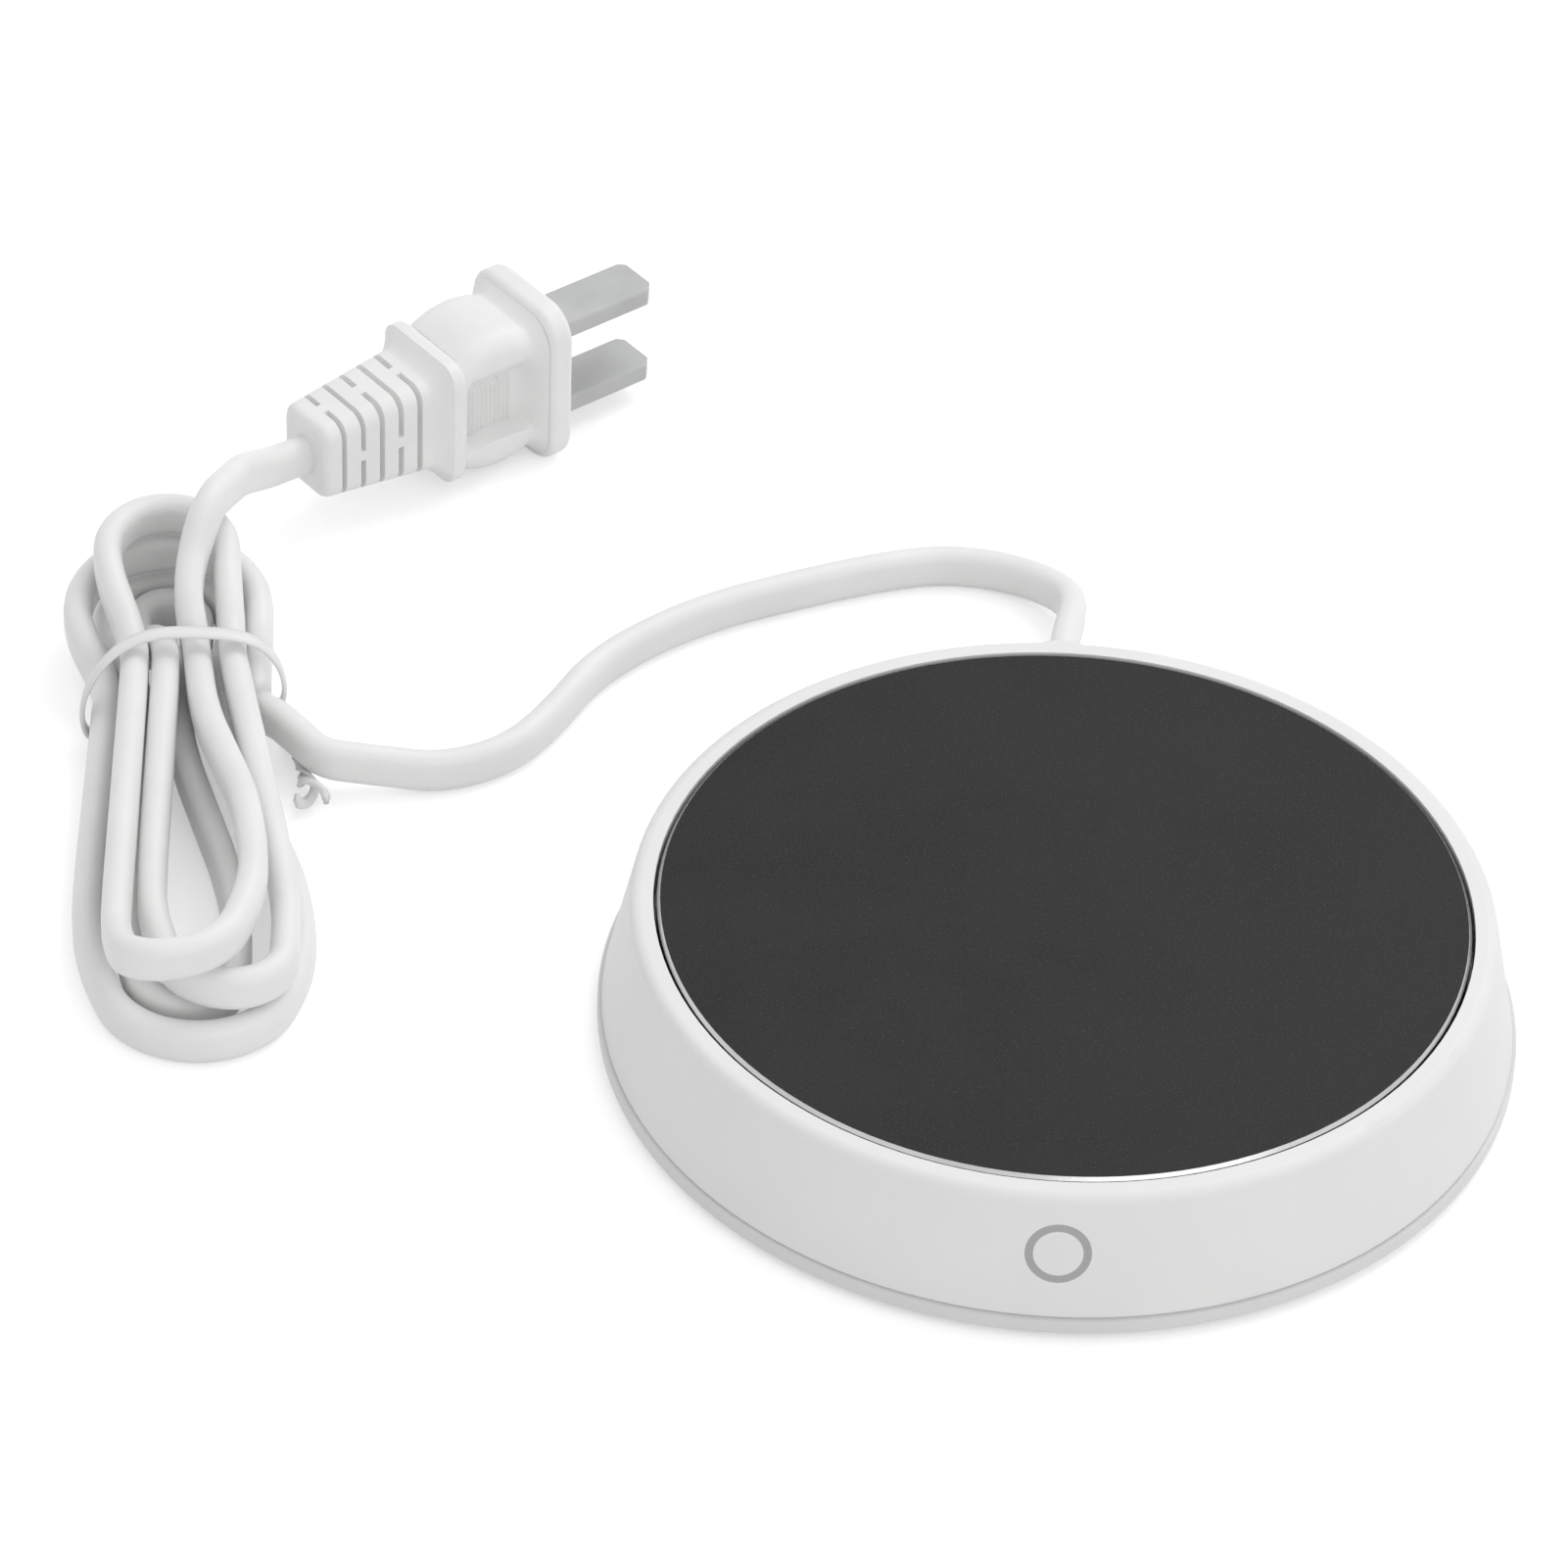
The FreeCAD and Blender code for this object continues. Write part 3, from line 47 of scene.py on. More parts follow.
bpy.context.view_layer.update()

# Camera: a long lens, a little to the left of the ring and about forty degrees up.
eye = bpy.data.cameras.new("eye")
eye.sensor_width = 36
eye.lens = 160.77
eye.clip_start = 0.01
eye_object = bpy.data.objects.new("eye", eye)
eye_object.location = (-0.02905, -0.66543, 0.57461)
eye_object.rotation_euler = (0.890530, -0.033495, 0.036505)
scene.collection.objects.link(eye_object)
scene.camera = eye_object
scene.view_settings.view_transform = "Standard"


# Cord route, in millimetres: out of the case, across the table, round the hank and into the plug.
CORD_THICKNESS = 3.7
CORD_WIDTH = 5.8
FLOOR_LEVEL = 2.95
PLUG_LEVEL = 12.0
PLUG_AT = Vector((-101.4, 97.6, 0))
PLUG_HEADING = math.radians(40.4)
HANK_AT = Vector((-108.5, -14.5, 0))
HANK_HEADING = math.radians(96.9)
STRAND_PITCH = 4.35
LAYER_PITCH = 6.3
HANK_LENGTH = 92.5
WAIST_AT = 66.0
WAIST_LIFT = 1.15
SHOULDER_SHARE = 1.15
STEP_ANGLE = math.radians(16)
LEAD_RUN = 7.5
ENTRY_DEPTH = 0.2

LEAD_ROUTE = [
    (0.0, 65.0, 6.4), (0.4, 71.0, 6.4), (1.6, 77.0, 5.7), (1.0, 83.0, 4.4), (-5.0, 88.4, 3.3),
    (-13.0, 90.7, 2.95), (-21.0, 89.6, 2.95), (-34.0, 84.2, 2.95), (-49.0, 76.6, 2.95),
    (-61.2, 65.2, 2.95), (-66.8, 52.5, 2.95), (-72.0, 44.8, 2.95)]

LOOPS = [
    {"right_waist": (2.6, 0), "top_right": (2.75, 1), "top_short": 0.3, "top_layer": 1,
     "top_left": (-2.75, 1), "left_waist": (-1.9, 0), "left_belly": (-2.65, 0),
     "left_at": 23.7, "bottom": (0.64, -0.4, 0), "right_belly": (3.65, 0), "right_at": 19.0},
    {"right_waist": (1.25, 0), "top_right": (1.95, 0), "top_short": 0.0, "top_layer": 0,
     "top_left": (-1.95, 0), "left_waist": (-0.98, 0), "left_belly": (-1.38, 0),
     "left_at": 19.0, "bottom": (0.3, 5.6, 0), "right_belly": (1.8, 0), "right_at": 18.0},
    {"right_waist": (0.12, 0), "top_right": (0.95, 0), "top_short": 4.7, "top_layer": 0,
     "top_left": (-0.95, 0), "left_waist": (-0.1, 1), "left_belly": (-0.72, 1),
     "left_at": 21.0, "bottom": (1.6, 2.2, 1), "right_belly": (3.2, 1), "right_at": 19.5},
    {"right_waist": (1.88, 1), "top_right": (1.8, 2), "top_short": 0.5, "top_layer": 2,
     "top_left": (-1.8, 2), "left_waist": (-1.02, 1), "left_belly": (-1.74, 1.6),
     "left_at": 11.5, "bottom": (-0.45, 0.3, 2.05), "right_belly": (2.28, 2.05), "right_at": 19.0},
]
LAST_RIGHT_WAIST = (0.82, 1)
START = (52.0, 21.6, 1.85, -87, 8)
ENTER = (59.2, 14.5, 2.6, -42, 0)
OVER = (76.5, 2.9, 2.25, 10, 26)
CREST = (86.0, 6.8, 3.15, 20, -19)
TAIL_RUNS = (4.5, 7.0)


def hank_point(along, across, height=0.0):
    """A point of the hank's own frame, in the row frame."""
    forward = Vector((math.cos(HANK_HEADING), math.sin(HANK_HEADING), 0))
    right = Vector((math.sin(HANK_HEADING), -math.cos(HANK_HEADING), 0))
    return HANK_AT + forward * along + right * across + Vector((0, 0, height))


def hank_way(angle, rise=0):
    """A unit direction: an angle to the right of the hank's length, and a rise, in degrees."""
    turn = HANK_HEADING - math.radians(angle)
    up = math.radians(rise)
    return Vector((math.cos(turn) * math.cos(up), math.sin(turn) * math.cos(up), math.sin(up)))


def hank_stations():
    """Where the cord passes in the hank, and which way it heads there."""
    stations = []

    def add(along, across, height, angle, rise=0):
        stations.append((hank_point(along, across, height), hank_way(angle, rise)))

    def level(layers, lift=0.0):
        return FLOOR_LEVEL + lift + layers * LAYER_PITCH

    for along, across, lift, angle, rise in (START, ENTER):
        add(along, across, FLOOR_LEVEL + lift, angle, rise)
    for loop in LOOPS:
        width = loop["top_right"][0] * STRAND_PITCH
        top = HANK_LENGTH - loop["top_short"]
        shoulder = top - SHOULDER_SHARE * width
        add(WAIST_AT, loop["right_waist"][0] * STRAND_PITCH,
            level(loop["right_waist"][1], WAIST_LIFT), 0)
        add(shoulder, width, level(loop["top_right"][1]), 0)
        add(top, 0, level(loop["top_layer"]), -90)
        add(shoulder, loop["top_left"][0] * STRAND_PITCH, level(loop["top_left"][1]), 180)
        add(WAIST_AT, loop["left_waist"][0] * STRAND_PITCH,
            level(loop["left_waist"][1], WAIST_LIFT), 180)
        across, lift, layers = loop["bottom"]
        left, left_layers = loop["left_belly"]
        right, right_layers = loop["right_belly"]
        add(loop["left_at"], left * STRAND_PITCH, level(left_layers), 180)
        add(lift, across * STRAND_PITCH, level(layers), 90)
        add(loop["right_at"], right * STRAND_PITCH, level(right_layers), 0)
    add(WAIST_AT, LAST_RIGHT_WAIST[0] * STRAND_PITCH, level(LAST_RIGHT_WAIST[1], WAIST_LIFT), 0)
    for along, across, layers, angle, rise in (OVER, CREST):
        add(along, across, level(layers), angle, rise)
    return stations


def arc_turn(start, way, end):
    """Points along the arc that leaves start along way and reaches end, without its start."""
    chord = end - start
    angle = way.angle(chord)
    if angle < 1e-4:
        return [end]
    side = (way - chord * (way.dot(chord) / chord.dot(chord))).normalized()
    radius = chord.length / 2 / math.sin(angle)
    centre = start + chord / 2 - side * (radius * math.cos(angle))
    count = max(1, math.ceil(2 * angle / STEP_ANGLE))
    out = []
    for index in range(1, count + 1):
        turn = 2 * angle * index / count
        out.append(start + way * (radius * math.sin(turn))
                   + (centre - start) * (1 - math.cos(turn)))
    return out


def loop_points(start, start_way, end, end_way):
    """Points of the turn between two stations, which two tangent arcs make."""
    gap = end - start
    ways = start_way + end_way
    spread = 2 * (1 - start_way.dot(end_way))
    along = gap.dot(ways)
    if spread < 1e-6:
        reach = gap.dot(gap) / (2 * along)
    else:
        reach = (-along + math.sqrt(along ** 2 + spread * gap.dot(gap))) / spread
    joint = (start + start_way * reach + end - end_way * reach) / 2
    first = arc_turn(start, start_way, joint)
    second = arc_turn(end, -end_way, joint)
    return first + second[::-1][1:] + [end]


def cord_points():
    """Control points of the whole cord."""
    stations = hank_stations()
    first, first_way = stations[0]
    last, last_way = stations[-1]
    start = first - first_way * CORD_WIDTH
    end = last + last_way * CORD_WIDTH
    points = [Vector(point) for point in LEAD_ROUTE]
    points += [start - first_way * LEAD_RUN, start, first]
    for (here, way), (there, next_way) in zip(stations, stations[1:]):
        points += loop_points(here, way, there, next_way)
    heading = Vector((math.cos(PLUG_HEADING), math.sin(PLUG_HEADING), 0))
    entry = PLUG_AT + Vector((0, 0, PLUG_LEVEL)) + heading * ENTRY_DEPTH
    points += [end, end + last_way * TAIL_RUNS[0], entry - heading * TAIL_RUNS[1], entry]
    return points


def oval_profile(name, width, height, sides=10):
    """The section of the flat cord: two half circles joined by flat sides."""
    curve = bpy.data.curves.new(name, "CURVE")
    curve.dimensions = "2D"
    half = width / 2
    straight = height / 2 - half
    spots = []
    for index in range(sides + 1):
        angle = math.pi * index / sides
        spots.append((half * math.cos(angle), straight + half * math.sin(angle)))
    for index in range(sides + 1):
        angle = math.pi + math.pi * index / sides
        spots.append((half * math.cos(angle), -straight + half * math.sin(angle)))
    spline = curve.splines.new("POLY")
    spline.points.add(len(spots) - 1)
    for point, (x, y) in zip(spline.points, spots):
        point.co = (x, y, 0, 1)
    spline.use_cyclic_u = True
    thing = bpy.data.objects.new(name, curve)
    scene.collection.objects.link(thing)
    thing.hide_render = True
    thing.hide_viewport = True
    return thing


profile = oval_profile("cord_section", CORD_THICKNESS, CORD_WIDTH)
cord_curve = bpy.data.curves.new("mains_cord", "CURVE")
cord_curve.dimensions = "3D"
cord_curve.twist_mode = "Z_UP"
cord_curve.bevel_mode = "OBJECT"
cord_curve.bevel_object = profile
cord_curve.use_fill_caps = True
cord_curve.resolution_u = 8
cord_spline = cord_curve.splines.new("NURBS")
route = cord_points()
cord_spline.points.add(len(route) - 1)
for control, place in zip(cord_spline.points, route):
    control.co = (place.x * MM, place.y * MM, place.z * MM, 1)
    control.radius = MM  # the section is drawn in millimetres
cord_spline.order_u = 3
cord_spline.use_endpoint_u = True
cord = bpy.data.objects.new("mains_cord", cord_curve)
scene.collection.objects.link(cord)


# Materials. Every surface has its own small unevenness in colour, gloss and height.
def new_material(name):
    """A node material with its tree and its shader."""
    material = bpy.data.materials.new(name)
    material.use_nodes = True
    tree = material.node_tree
    shader = tree.nodes["Principled BSDF"]
    return material, tree, shader


def node(tree, kind, **values):
    """A new node, with values for its inputs by name."""
    made = tree.nodes.new(kind)
    for name, value in values.items():
        made.inputs[name.replace("_", " ")].default_value = value
    return made


def noise(tree, scale, detail=2.0, roughness=0.5):
    """A noise pattern fixed to the object, with scale in waves per metre."""
    coords = tree.nodes.new("ShaderNodeTexCoord")
    made = node(tree, "ShaderNodeTexNoise", Scale=scale, Detail=detail, Roughness=roughness)
    tree.links.new(coords.outputs["Object"], made.inputs["Vector"])
    return made


def spread(tree, source, low, high, start=0.35, end=0.65):
    """Maps a pattern to a range of numbers."""
    made = node(tree, "ShaderNodeMapRange")
    made.inputs["From Min"].default_value = start
    made.inputs["From Max"].default_value = end
    made.inputs["To Min"].default_value = low
    made.inputs["To Max"].default_value = high
    tree.links.new(source, made.inputs["Value"])
    return made.outputs["Result"]


def two_tone(tree, factor, first, second):
    """A mix of two colours by a pattern."""
    made = tree.nodes.new("ShaderNodeMix")
    made.data_type = "RGBA"
    made.inputs["A"].default_value = (*first, 1)
    made.inputs["B"].default_value = (*second, 1)
    tree.links.new(factor, made.inputs["Factor"])
    return made.outputs["Result"]


def shaded(colour, share):
    """A colour with all its parts scaled."""
    return tuple(value * share for value in colour)


def moulded(name, colour, gloss=0.45, grain=1500.0, depth=0.00002, tone=0.96, metal=0.0,
            specular=0.4, waves=60.0):
    """A surface with slow changes of tone and a fine grain."""
    material, tree, shader = new_material(name)
    slow = noise(tree, waves, 3.0)
    fine = noise(tree, grain, 4.0, 0.6)
    factor = spread(tree, slow.outputs["Fac"], 0.0, 1.0)
    tree.links.new(
        two_tone(tree, factor, colour, shaded(colour, tone)), shader.inputs["Base Color"])
    tree.links.new(
        spread(tree, fine.outputs["Fac"], gloss - 0.05, gloss + 0.06),
        shader.inputs["Roughness"])
    bump = node(tree, "ShaderNodeBump", Strength=0.5, Distance=depth)
    tree.links.new(fine.outputs["Fac"], bump.inputs["Height"])
    tree.links.new(bump.outputs["Normal"], shader.inputs["Normal"])
    shader.inputs["Metallic"].default_value = metal
    shader.inputs["Specular IOR Level"].default_value = specular
    return material


def plate_material():
    """The dark baked coating: faint mottling and a fine sparkle."""
    material, tree, shader = new_material("plate_coating")
    slow = noise(tree, 45.0, 4.0, 0.6)
    fine = noise(tree, 4200.0, 2.0)
    base = two_tone(
        tree, spread(tree, slow.outputs["Fac"], 0.0, 1.0), (0.020, 0.020, 0.0205),
        (0.026, 0.026, 0.0265))
    sparkle = tree.nodes.new("ShaderNodeMix")
    sparkle.data_type = "RGBA"
    sparkle.inputs["B"].default_value = (0.05, 0.05, 0.051, 1)
    tree.links.new(base, sparkle.inputs["A"])
    tree.links.new(
        spread(tree, fine.outputs["Fac"], 0.0, 1.0, 0.58, 0.74), sparkle.inputs["Factor"])
    tree.links.new(sparkle.outputs["Result"], shader.inputs["Base Color"])
    tree.links.new(
        spread(tree, slow.outputs["Fac"], 0.42, 0.5), shader.inputs["Roughness"])
    bump = node(tree, "ShaderNodeBump", Strength=0.35, Distance=0.00001)
    tree.links.new(fine.outputs["Fac"], bump.inputs["Height"])
    tree.links.new(bump.outputs["Normal"], shader.inputs["Normal"])
    shader.inputs["Specular IOR Level"].default_value = 0.12
    return material


def sleeve_material():
    """Frosted translucent plastic."""
    material, tree, shader = new_material("clear_sleeve")
    slow = noise(tree, 160.0, 3.0)
    fine = noise(tree, 2600.0, 3.0)
    factor = spread(tree, slow.outputs["Fac"], 0.0, 1.0)
    tree.links.new(
        two_tone(tree, factor, (0.66, 0.665, 0.67), (0.60, 0.605, 0.61)),
        shader.inputs["Base Color"])
    tree.links.new(
        spread(tree, fine.outputs["Fac"], 0.42, 0.52), shader.inputs["Roughness"])
    shader.inputs["Transmission Weight"].default_value = 0.22
    shader.inputs["IOR"].default_value = 1.46
    return material


CASE = (0.83, 0.83, 0.825)
MATERIALS = {
    "case_white": moulded("case_white", CASE, 0.48, 1900.0, 0.000018, 0.975),
    "cover_grey": moulded("cover_grey", (0.76, 0.76, 0.755), 0.5, 1900.0, 0.00002, 0.97),
    "ring_grey": moulded("ring_grey", (0.42, 0.42, 0.425), 0.4, 2400.0, 0.00001, 0.95),
    "plate_coating": plate_material(),
    "silicone": moulded("silicone", (0.55, 0.55, 0.545), 0.6, 900.0),
    "heater_film": moulded("heater_film", (0.55, 0.44, 0.22), 0.4, 700.0, 0.00002, 0.85),
    "fibre_pad": moulded("fibre_pad", (0.68, 0.66, 0.6), 0.9, 1200.0, 0.00012, 0.88, specular=0.1),
    "steel": moulded("steel", (0.6, 0.61, 0.62), 0.3, 2200.0, 0.00001, 0.92, metal=1.0),
    "black_plastic": moulded("black_plastic", (0.03, 0.03, 0.03), 0.42, 1800.0, 0.00002, 0.8),
    "sensor_bead": moulded("sensor_bead", (0.1, 0.07, 0.05), 0.3, 1200.0),
    "board_green": moulded("board_green", (0.02, 0.16, 0.07), 0.35, 2600.0, 0.00001, 0.8),
    "led_lens": moulded("led_lens", (0.85, 0.85, 0.8), 0.15, 900.0),
    "contact_foam": moulded("contact_foam", (0.12, 0.12, 0.12), 0.8, 1600.0, 0.00008, 0.8),
    "wire_white": moulded("wire_white", (0.74, 0.74, 0.73), 0.42, 1400.0),
    "cord_sheath": moulded(
        "cord_sheath", (0.86, 0.86, 0.855), 0.4, 1300.0, 0.00002, 0.965, waves=110.0),
    "nylon": moulded("nylon", (0.75, 0.75, 0.72), 0.5, 1500.0),
    "tie_sleeve": moulded("tie_sleeve", (0.83, 0.83, 0.825), 0.36, 1600.0, 0.00002, 0.96),
    "plug_rubber": moulded(
        "plug_rubber", (0.87, 0.87, 0.865), 0.46, 1500.0, 0.00003, 0.965, waves=150.0),
    "brass": moulded("brass", (0.66, 0.65, 0.62), 0.3, 2400.0, 0.00001, 0.93, metal=1.0),
    "clear_sleeve": sleeve_material(),
    "foot_rubber": moulded("foot_rubber", (0.62, 0.62, 0.61), 0.7, 1100.0, 0.00004, 0.93),
}
PLATE_EDGE = moulded(
    "plate_edge", (0.62, 0.62, 0.63), 0.22, 2600.0, 0.00001, 0.85, metal=1.0, waves=90.0)

for entry in frame["record"]["subparts"]:
    thing = nodes[entry["node"]]
    thing.data.materials.clear()
    thing.data.materials.append(MATERIALS[entry["material_slot"]])

# The plate's bevelled edge is bare metal.
EDGE_RADIUS = 0.0498
EDGE_SLOPE = (0.3, 0.95)
plate = nodes["heating_plate"]
plate.data.materials.append(PLATE_EDGE)
for face in plate.data.polygons:
    if face.center.xy.length > EDGE_RADIUS and EDGE_SLOPE[0] < face.normal.z < EDGE_SLOPE[1]:
        face.material_index = 1


def add_mesh(name, build, material, smooth=True):
    """A new mesh piece from a function that fills it."""
    mesh = bpy.data.meshes.new(name)
    shape = bmesh.new()
    build(shape)
    bmesh.ops.recalc_face_normals(shape, faces=shape.faces)
    shape.to_mesh(mesh)
    shape.free()
    if smooth:
        for face in mesh.polygons:
            face.use_smooth = True
    mesh.materials.append(material)
    thing = bpy.data.objects.new(name, mesh)
    scene.collection.objects.link(thing)
    return thing


def strip(shape, rings, closed):
    """Joins rings of points into a tube, capped where it is open."""
    made = [[shape.verts.new(point) for point in ring] for ring in rings]
    count = len(rings)
    sides = len(rings[0])
    for index in range(count if closed else count - 1):
        here = made[index]
        there = made[(index + 1) % count]
        for side in range(sides):
            following = (side + 1) % sides
            shape.faces.new((here[side], here[following], there[following], there[side]))
    if not closed:
        shape.faces.new(made[0][::-1])
        shape.faces.new(made[-1])


# Tie round the waist of the hank.
TIE_WIDTH = 2.4
TIE_THICKNESS = 0.7
TIE_SWAY = -0.032
TWIST_STEPS = 90
TWIST_TURNS = 2.0
LOOSE_FROM = 0.62


def flat_section(centre, across, outward, width, thickness):
    """The tie's section: a thin flat strip, swollen along its middle by the wire inside."""
    spots = [
        (-0.5, 0.0), (-0.44, 0.32), (-0.22, 0.36), (-0.12, 0.5), (0.12, 0.5), (0.22, 0.36),
        (0.44, 0.32), (0.5, 0.0), (0.44, -0.32), (0.22, -0.36), (0.12, -0.5), (-0.12, -0.5),
        (-0.22, -0.36), (-0.44, -0.32)]
    return [
        (centre + across * (x * width) + outward * (y * thickness)) * MM for x, y in spots]


TIE_MARKS = [
    (15.2, 4.6), (14.3, 10.2), (11.1, 14.3), (4.4, 15.5), (-2.6, 15.5), (-7.6, 13.8),
    (-10.9, 9.8), (-11.8, 5.0), (-10.6, 1.2), (-6.5, 0.45), (0.0, 0.45), (8.0, 0.45),
    (13.0, 0.9)]


def round_line(marks, steps):
    """A closed smooth line that keeps just inside the marks."""
    spots = []
    count = len(marks)
    for index in range(count):
        a, b, c = (Vector(marks[(index + shift) % count]) for shift in (-1, 0, 1))
        for step in range(steps):
            share = step / steps
            first = (a + b) / 2
            last = (b + c) / 2
            rest = 1 - share
            spots.append(first * rest ** 2 + b * (2 * rest * share) + last * share ** 2)
    return spots


def build_tie(shape):
    """The band round the strands, and its two ends."""
    spots = round_line(TIE_MARKS, 10)
    count = len(spots)
    along = hank_way(0)
    rings = []
    for index, spot in enumerate(spots):
        way = (spots[(index + 1) % count] - spots[index - 1]).normalized()
        outward = hank_way(90) * way.y + Vector((0, 0, -way.x))
        sway = TIE_SWAY * min(spot.x, 0) ** 2
        centre = hank_point(WAIST_AT + 0.2 + sway, spot.x, spot.y)
        rings.append(flat_section(centre, along, outward, TIE_WIDTH, TIE_THICKNESS))
    strip(shape, rings, True)
    right = TIE_MARKS[0][0] - 0.4
    # Its two ends, twisted round each other along the table.
    path = [
        hank_point(WAIST_AT - 1.6, right + 0.1, 1.5),
        hank_point(WAIST_AT - 7.5, right + 1.6, 1.15),
        hank_point(WAIST_AT - 12.5, right + 2.2, 1.15),
        hank_point(WAIST_AT - 19.5, right + 3.0, 3.1)]
    for start in (0.0, math.pi):
        rings = []
        for index in range(TWIST_STEPS + 1):
            share = index / TWIST_STEPS
            place, way = bezier_spot(path, share)
            side = way.cross(Vector((0, 0, 1))).normalized()
            up = side.cross(way).normalized()
            angle = start + TWIST_TURNS * 2 * math.pi * share
            out = side * math.cos(angle) + up * math.sin(angle)
            across = out.cross(way).normalized()
            loose = max(0.0, (share - LOOSE_FROM) / (1 - LOOSE_FROM)) ** 1.4
            offset = 0.45 + 1.4 * loose
            rings.append(flat_section(
                place + out * offset, across, out, 1.5 + 0.6 * loose, 0.6 + 0.5 * loose))
        strip(shape, rings, False)


def bezier_spot(path, share):
    """A place and direction on a smooth line through four control points."""
    a, b, c, d = path
    rest = 1 - share
    place = (a * rest ** 3 + b * (3 * rest ** 2 * share) + c * (3 * rest * share ** 2)
             + d * share ** 3)
    way = (b - a) * rest ** 2 + (c - b) * (2 * rest * share) + (d - c) * share ** 2
    return place, way.normalized()


tie = add_mesh("waist_tie", build_tie, MATERIALS["tie_sleeve"])

# Moulded plug: slotted strain relief, flared collar, domed grip with a ribbed recess, and flange.
PLUG_RISE = 12.3
PLUG_BACK = 1.95
SIDES = 168
SLOT_STARTS = (3.0, 6.0, 9.0, 12.0, 15.0)
SLOT_WIDTH = 0.72
SLOT_DEPTH = 1.15
SLOT_EDGE = 0.06
BRIDGE = 1.0
RELIEF_END = 16.6
COLLAR_START = 19.2
COLLAR_END = 21.5
DOME_START = 21.6
DOME_LENGTH = 11.2
DOME_RADIUS = 11.0
DOME_MIDDLE = 28.0
DOME_STEPS = 111
FLARE_STEPS = 8
FLANGE_FLARE = 32.8
FLANGE_START = 34.6
FLANGE_END = 38.6
ROUND_STEPS = 5
RECESS_DEPTH = 2.7
RIB_START = 23.6
RIB_END = 31.0
RIB_PITCH = 0.74
RIB_HEIGHT = 0.24


def soft_step(low, high, value):
    """Rises smoothly from 0 at low to 1 at high."""
    share = max(0.0, min(1.0, (value - low) / (high - low)))
    return share * share * (3 - 2 * share)


def rounded_ring(half_width, half_height, corner, sides=SIDES):
    """Evenly spaced points round a rectangle with round corners."""
    corner = min(corner, half_width * 0.98, half_height * 0.98)
    flat_y = half_width - corner
    flat_z = half_height - corner
    bend = math.pi / 2 * corner
    lengths = [2 * flat_z, bend, 2 * flat_y, bend, 2 * flat_z, bend, 2 * flat_y, bend]
    total = sum(lengths)
    spots = []
    for index in range(sides):
        left = total * index / sides
        part = 0
        while left > lengths[part]:
            left -= lengths[part]
            part += 1
        if part == 0:
            spots.append((half_width, -flat_z + left))
        elif part == 2:
            spots.append((flat_y - left, half_height))
        elif part == 4:
            spots.append((-half_width, flat_z - left))
        elif part == 6:
            spots.append((-flat_y + left, -half_height))
        else:
            quarter = (part - 1) // 2
            angle = math.radians(90 * quarter) + left / corner
            centre_y = flat_y if quarter in (0, 3) else -flat_y
            centre_z = flat_z if quarter in (0, 1) else -flat_z
            spots.append((centre_y + corner * math.cos(angle), centre_z + corner * math.sin(angle)))
    return spots


def plug_profile():
    """Stations along the plug: distance, half width, half height and corner radius."""
    stations = []

    def block(start, end, sizes, after, corner, first_round, last_round):
        width, height = sizes
        last_width, last_height = after
        for index in range(ROUND_STEPS + 1):
            angle = math.pi / 2 * index / ROUND_STEPS
            inset = first_round * (1 - math.sin(angle))
            stations.append((start + first_round * (1 - math.cos(angle)), width - inset,
                             height - inset, corner))
        steps = max(2, int((end - start) / 0.4))
        for index in range(1, steps):
            share = index / steps
            at = start + first_round + (end - last_round - start - first_round) * share
            stations.append((at, width + (last_width - width) * share,
                             height + (last_height - height) * share, corner))
        for index in range(ROUND_STEPS + 1):
            angle = math.pi / 2 * index / ROUND_STEPS
            inset = last_round * (1 - math.cos(angle))
            stations.append((end - last_round * (1 - math.sin(angle)), last_width - inset,
                             last_height - inset, corner))

    stations.append((0.0, 0.5, 0.8, 0.3))
    stations.append((0.0, 3.4, 4.6, 1.4))
    block(0.0, RELIEF_END, (5.0, 5.9), (6.0, 7.4), 2.3, 1.1, 0.0)
    for index in range(1, FLARE_STEPS + 1):
        share = index / FLARE_STEPS
        swell = share ** 1.6
        stations.append((RELIEF_END + 2.6 * share, 6.0 + 2.1 * swell, 7.4 + 2.3 * swell,
                         2.3 + 0.5 * share))
    block(COLLAR_START, COLLAR_END, (8.1, 9.7), (8.1, 9.7), 2.8, 0.0, 1.0)
    stations.append((DOME_START, 6.8, 8.4, 2.8))
    for index in range(1, DOME_STEPS + 1):
        at = DOME_START + DOME_LENGTH * index / DOME_STEPS
        height = math.sqrt(DOME_RADIUS ** 2 - (at - DOME_MIDDLE) ** 2)
        stations.append((at, 7.0, height, 3.0))
    for index in range(1, FLARE_STEPS + 1):
        share = index / FLARE_STEPS
        stations.append((FLANGE_FLARE + 1.8 * share, 7.0 + 1.9 * share ** 1.5,
                         9.9 + 1.5 * share ** 1.5, 3.0 + 1.5 * share))
    block(FLANGE_START, FLANGE_END, (9.4, 12.3), (9.4, 12.3), 4.5, 1.1, 1.2)
    stations.append((FLANGE_END, 4.0, 6.0, 2.0))
    stations.append((FLANGE_END, 0.5, 0.8, 0.3))
    return stations


def plug_stations():
    """The profile with the edges of the slots added."""
    stations = plug_profile()
    out = []
    for here, there in zip(stations, stations[1:]):
        out.append(here)
        marks = []
        for start in SLOT_STARTS:
            for edge in (start - SLOT_WIDTH / 2, start + SLOT_WIDTH / 2):
                marks += [edge - SLOT_EDGE, edge + SLOT_EDGE]
        for mark in sorted(marks):
            if here[0] < mark < there[0]:
                share = (mark - here[0]) / (there[0] - here[0])
                out.append(tuple(a + (b - a) * share for a, b in zip(here, there)))
    out.append(stations[-1])
    return out


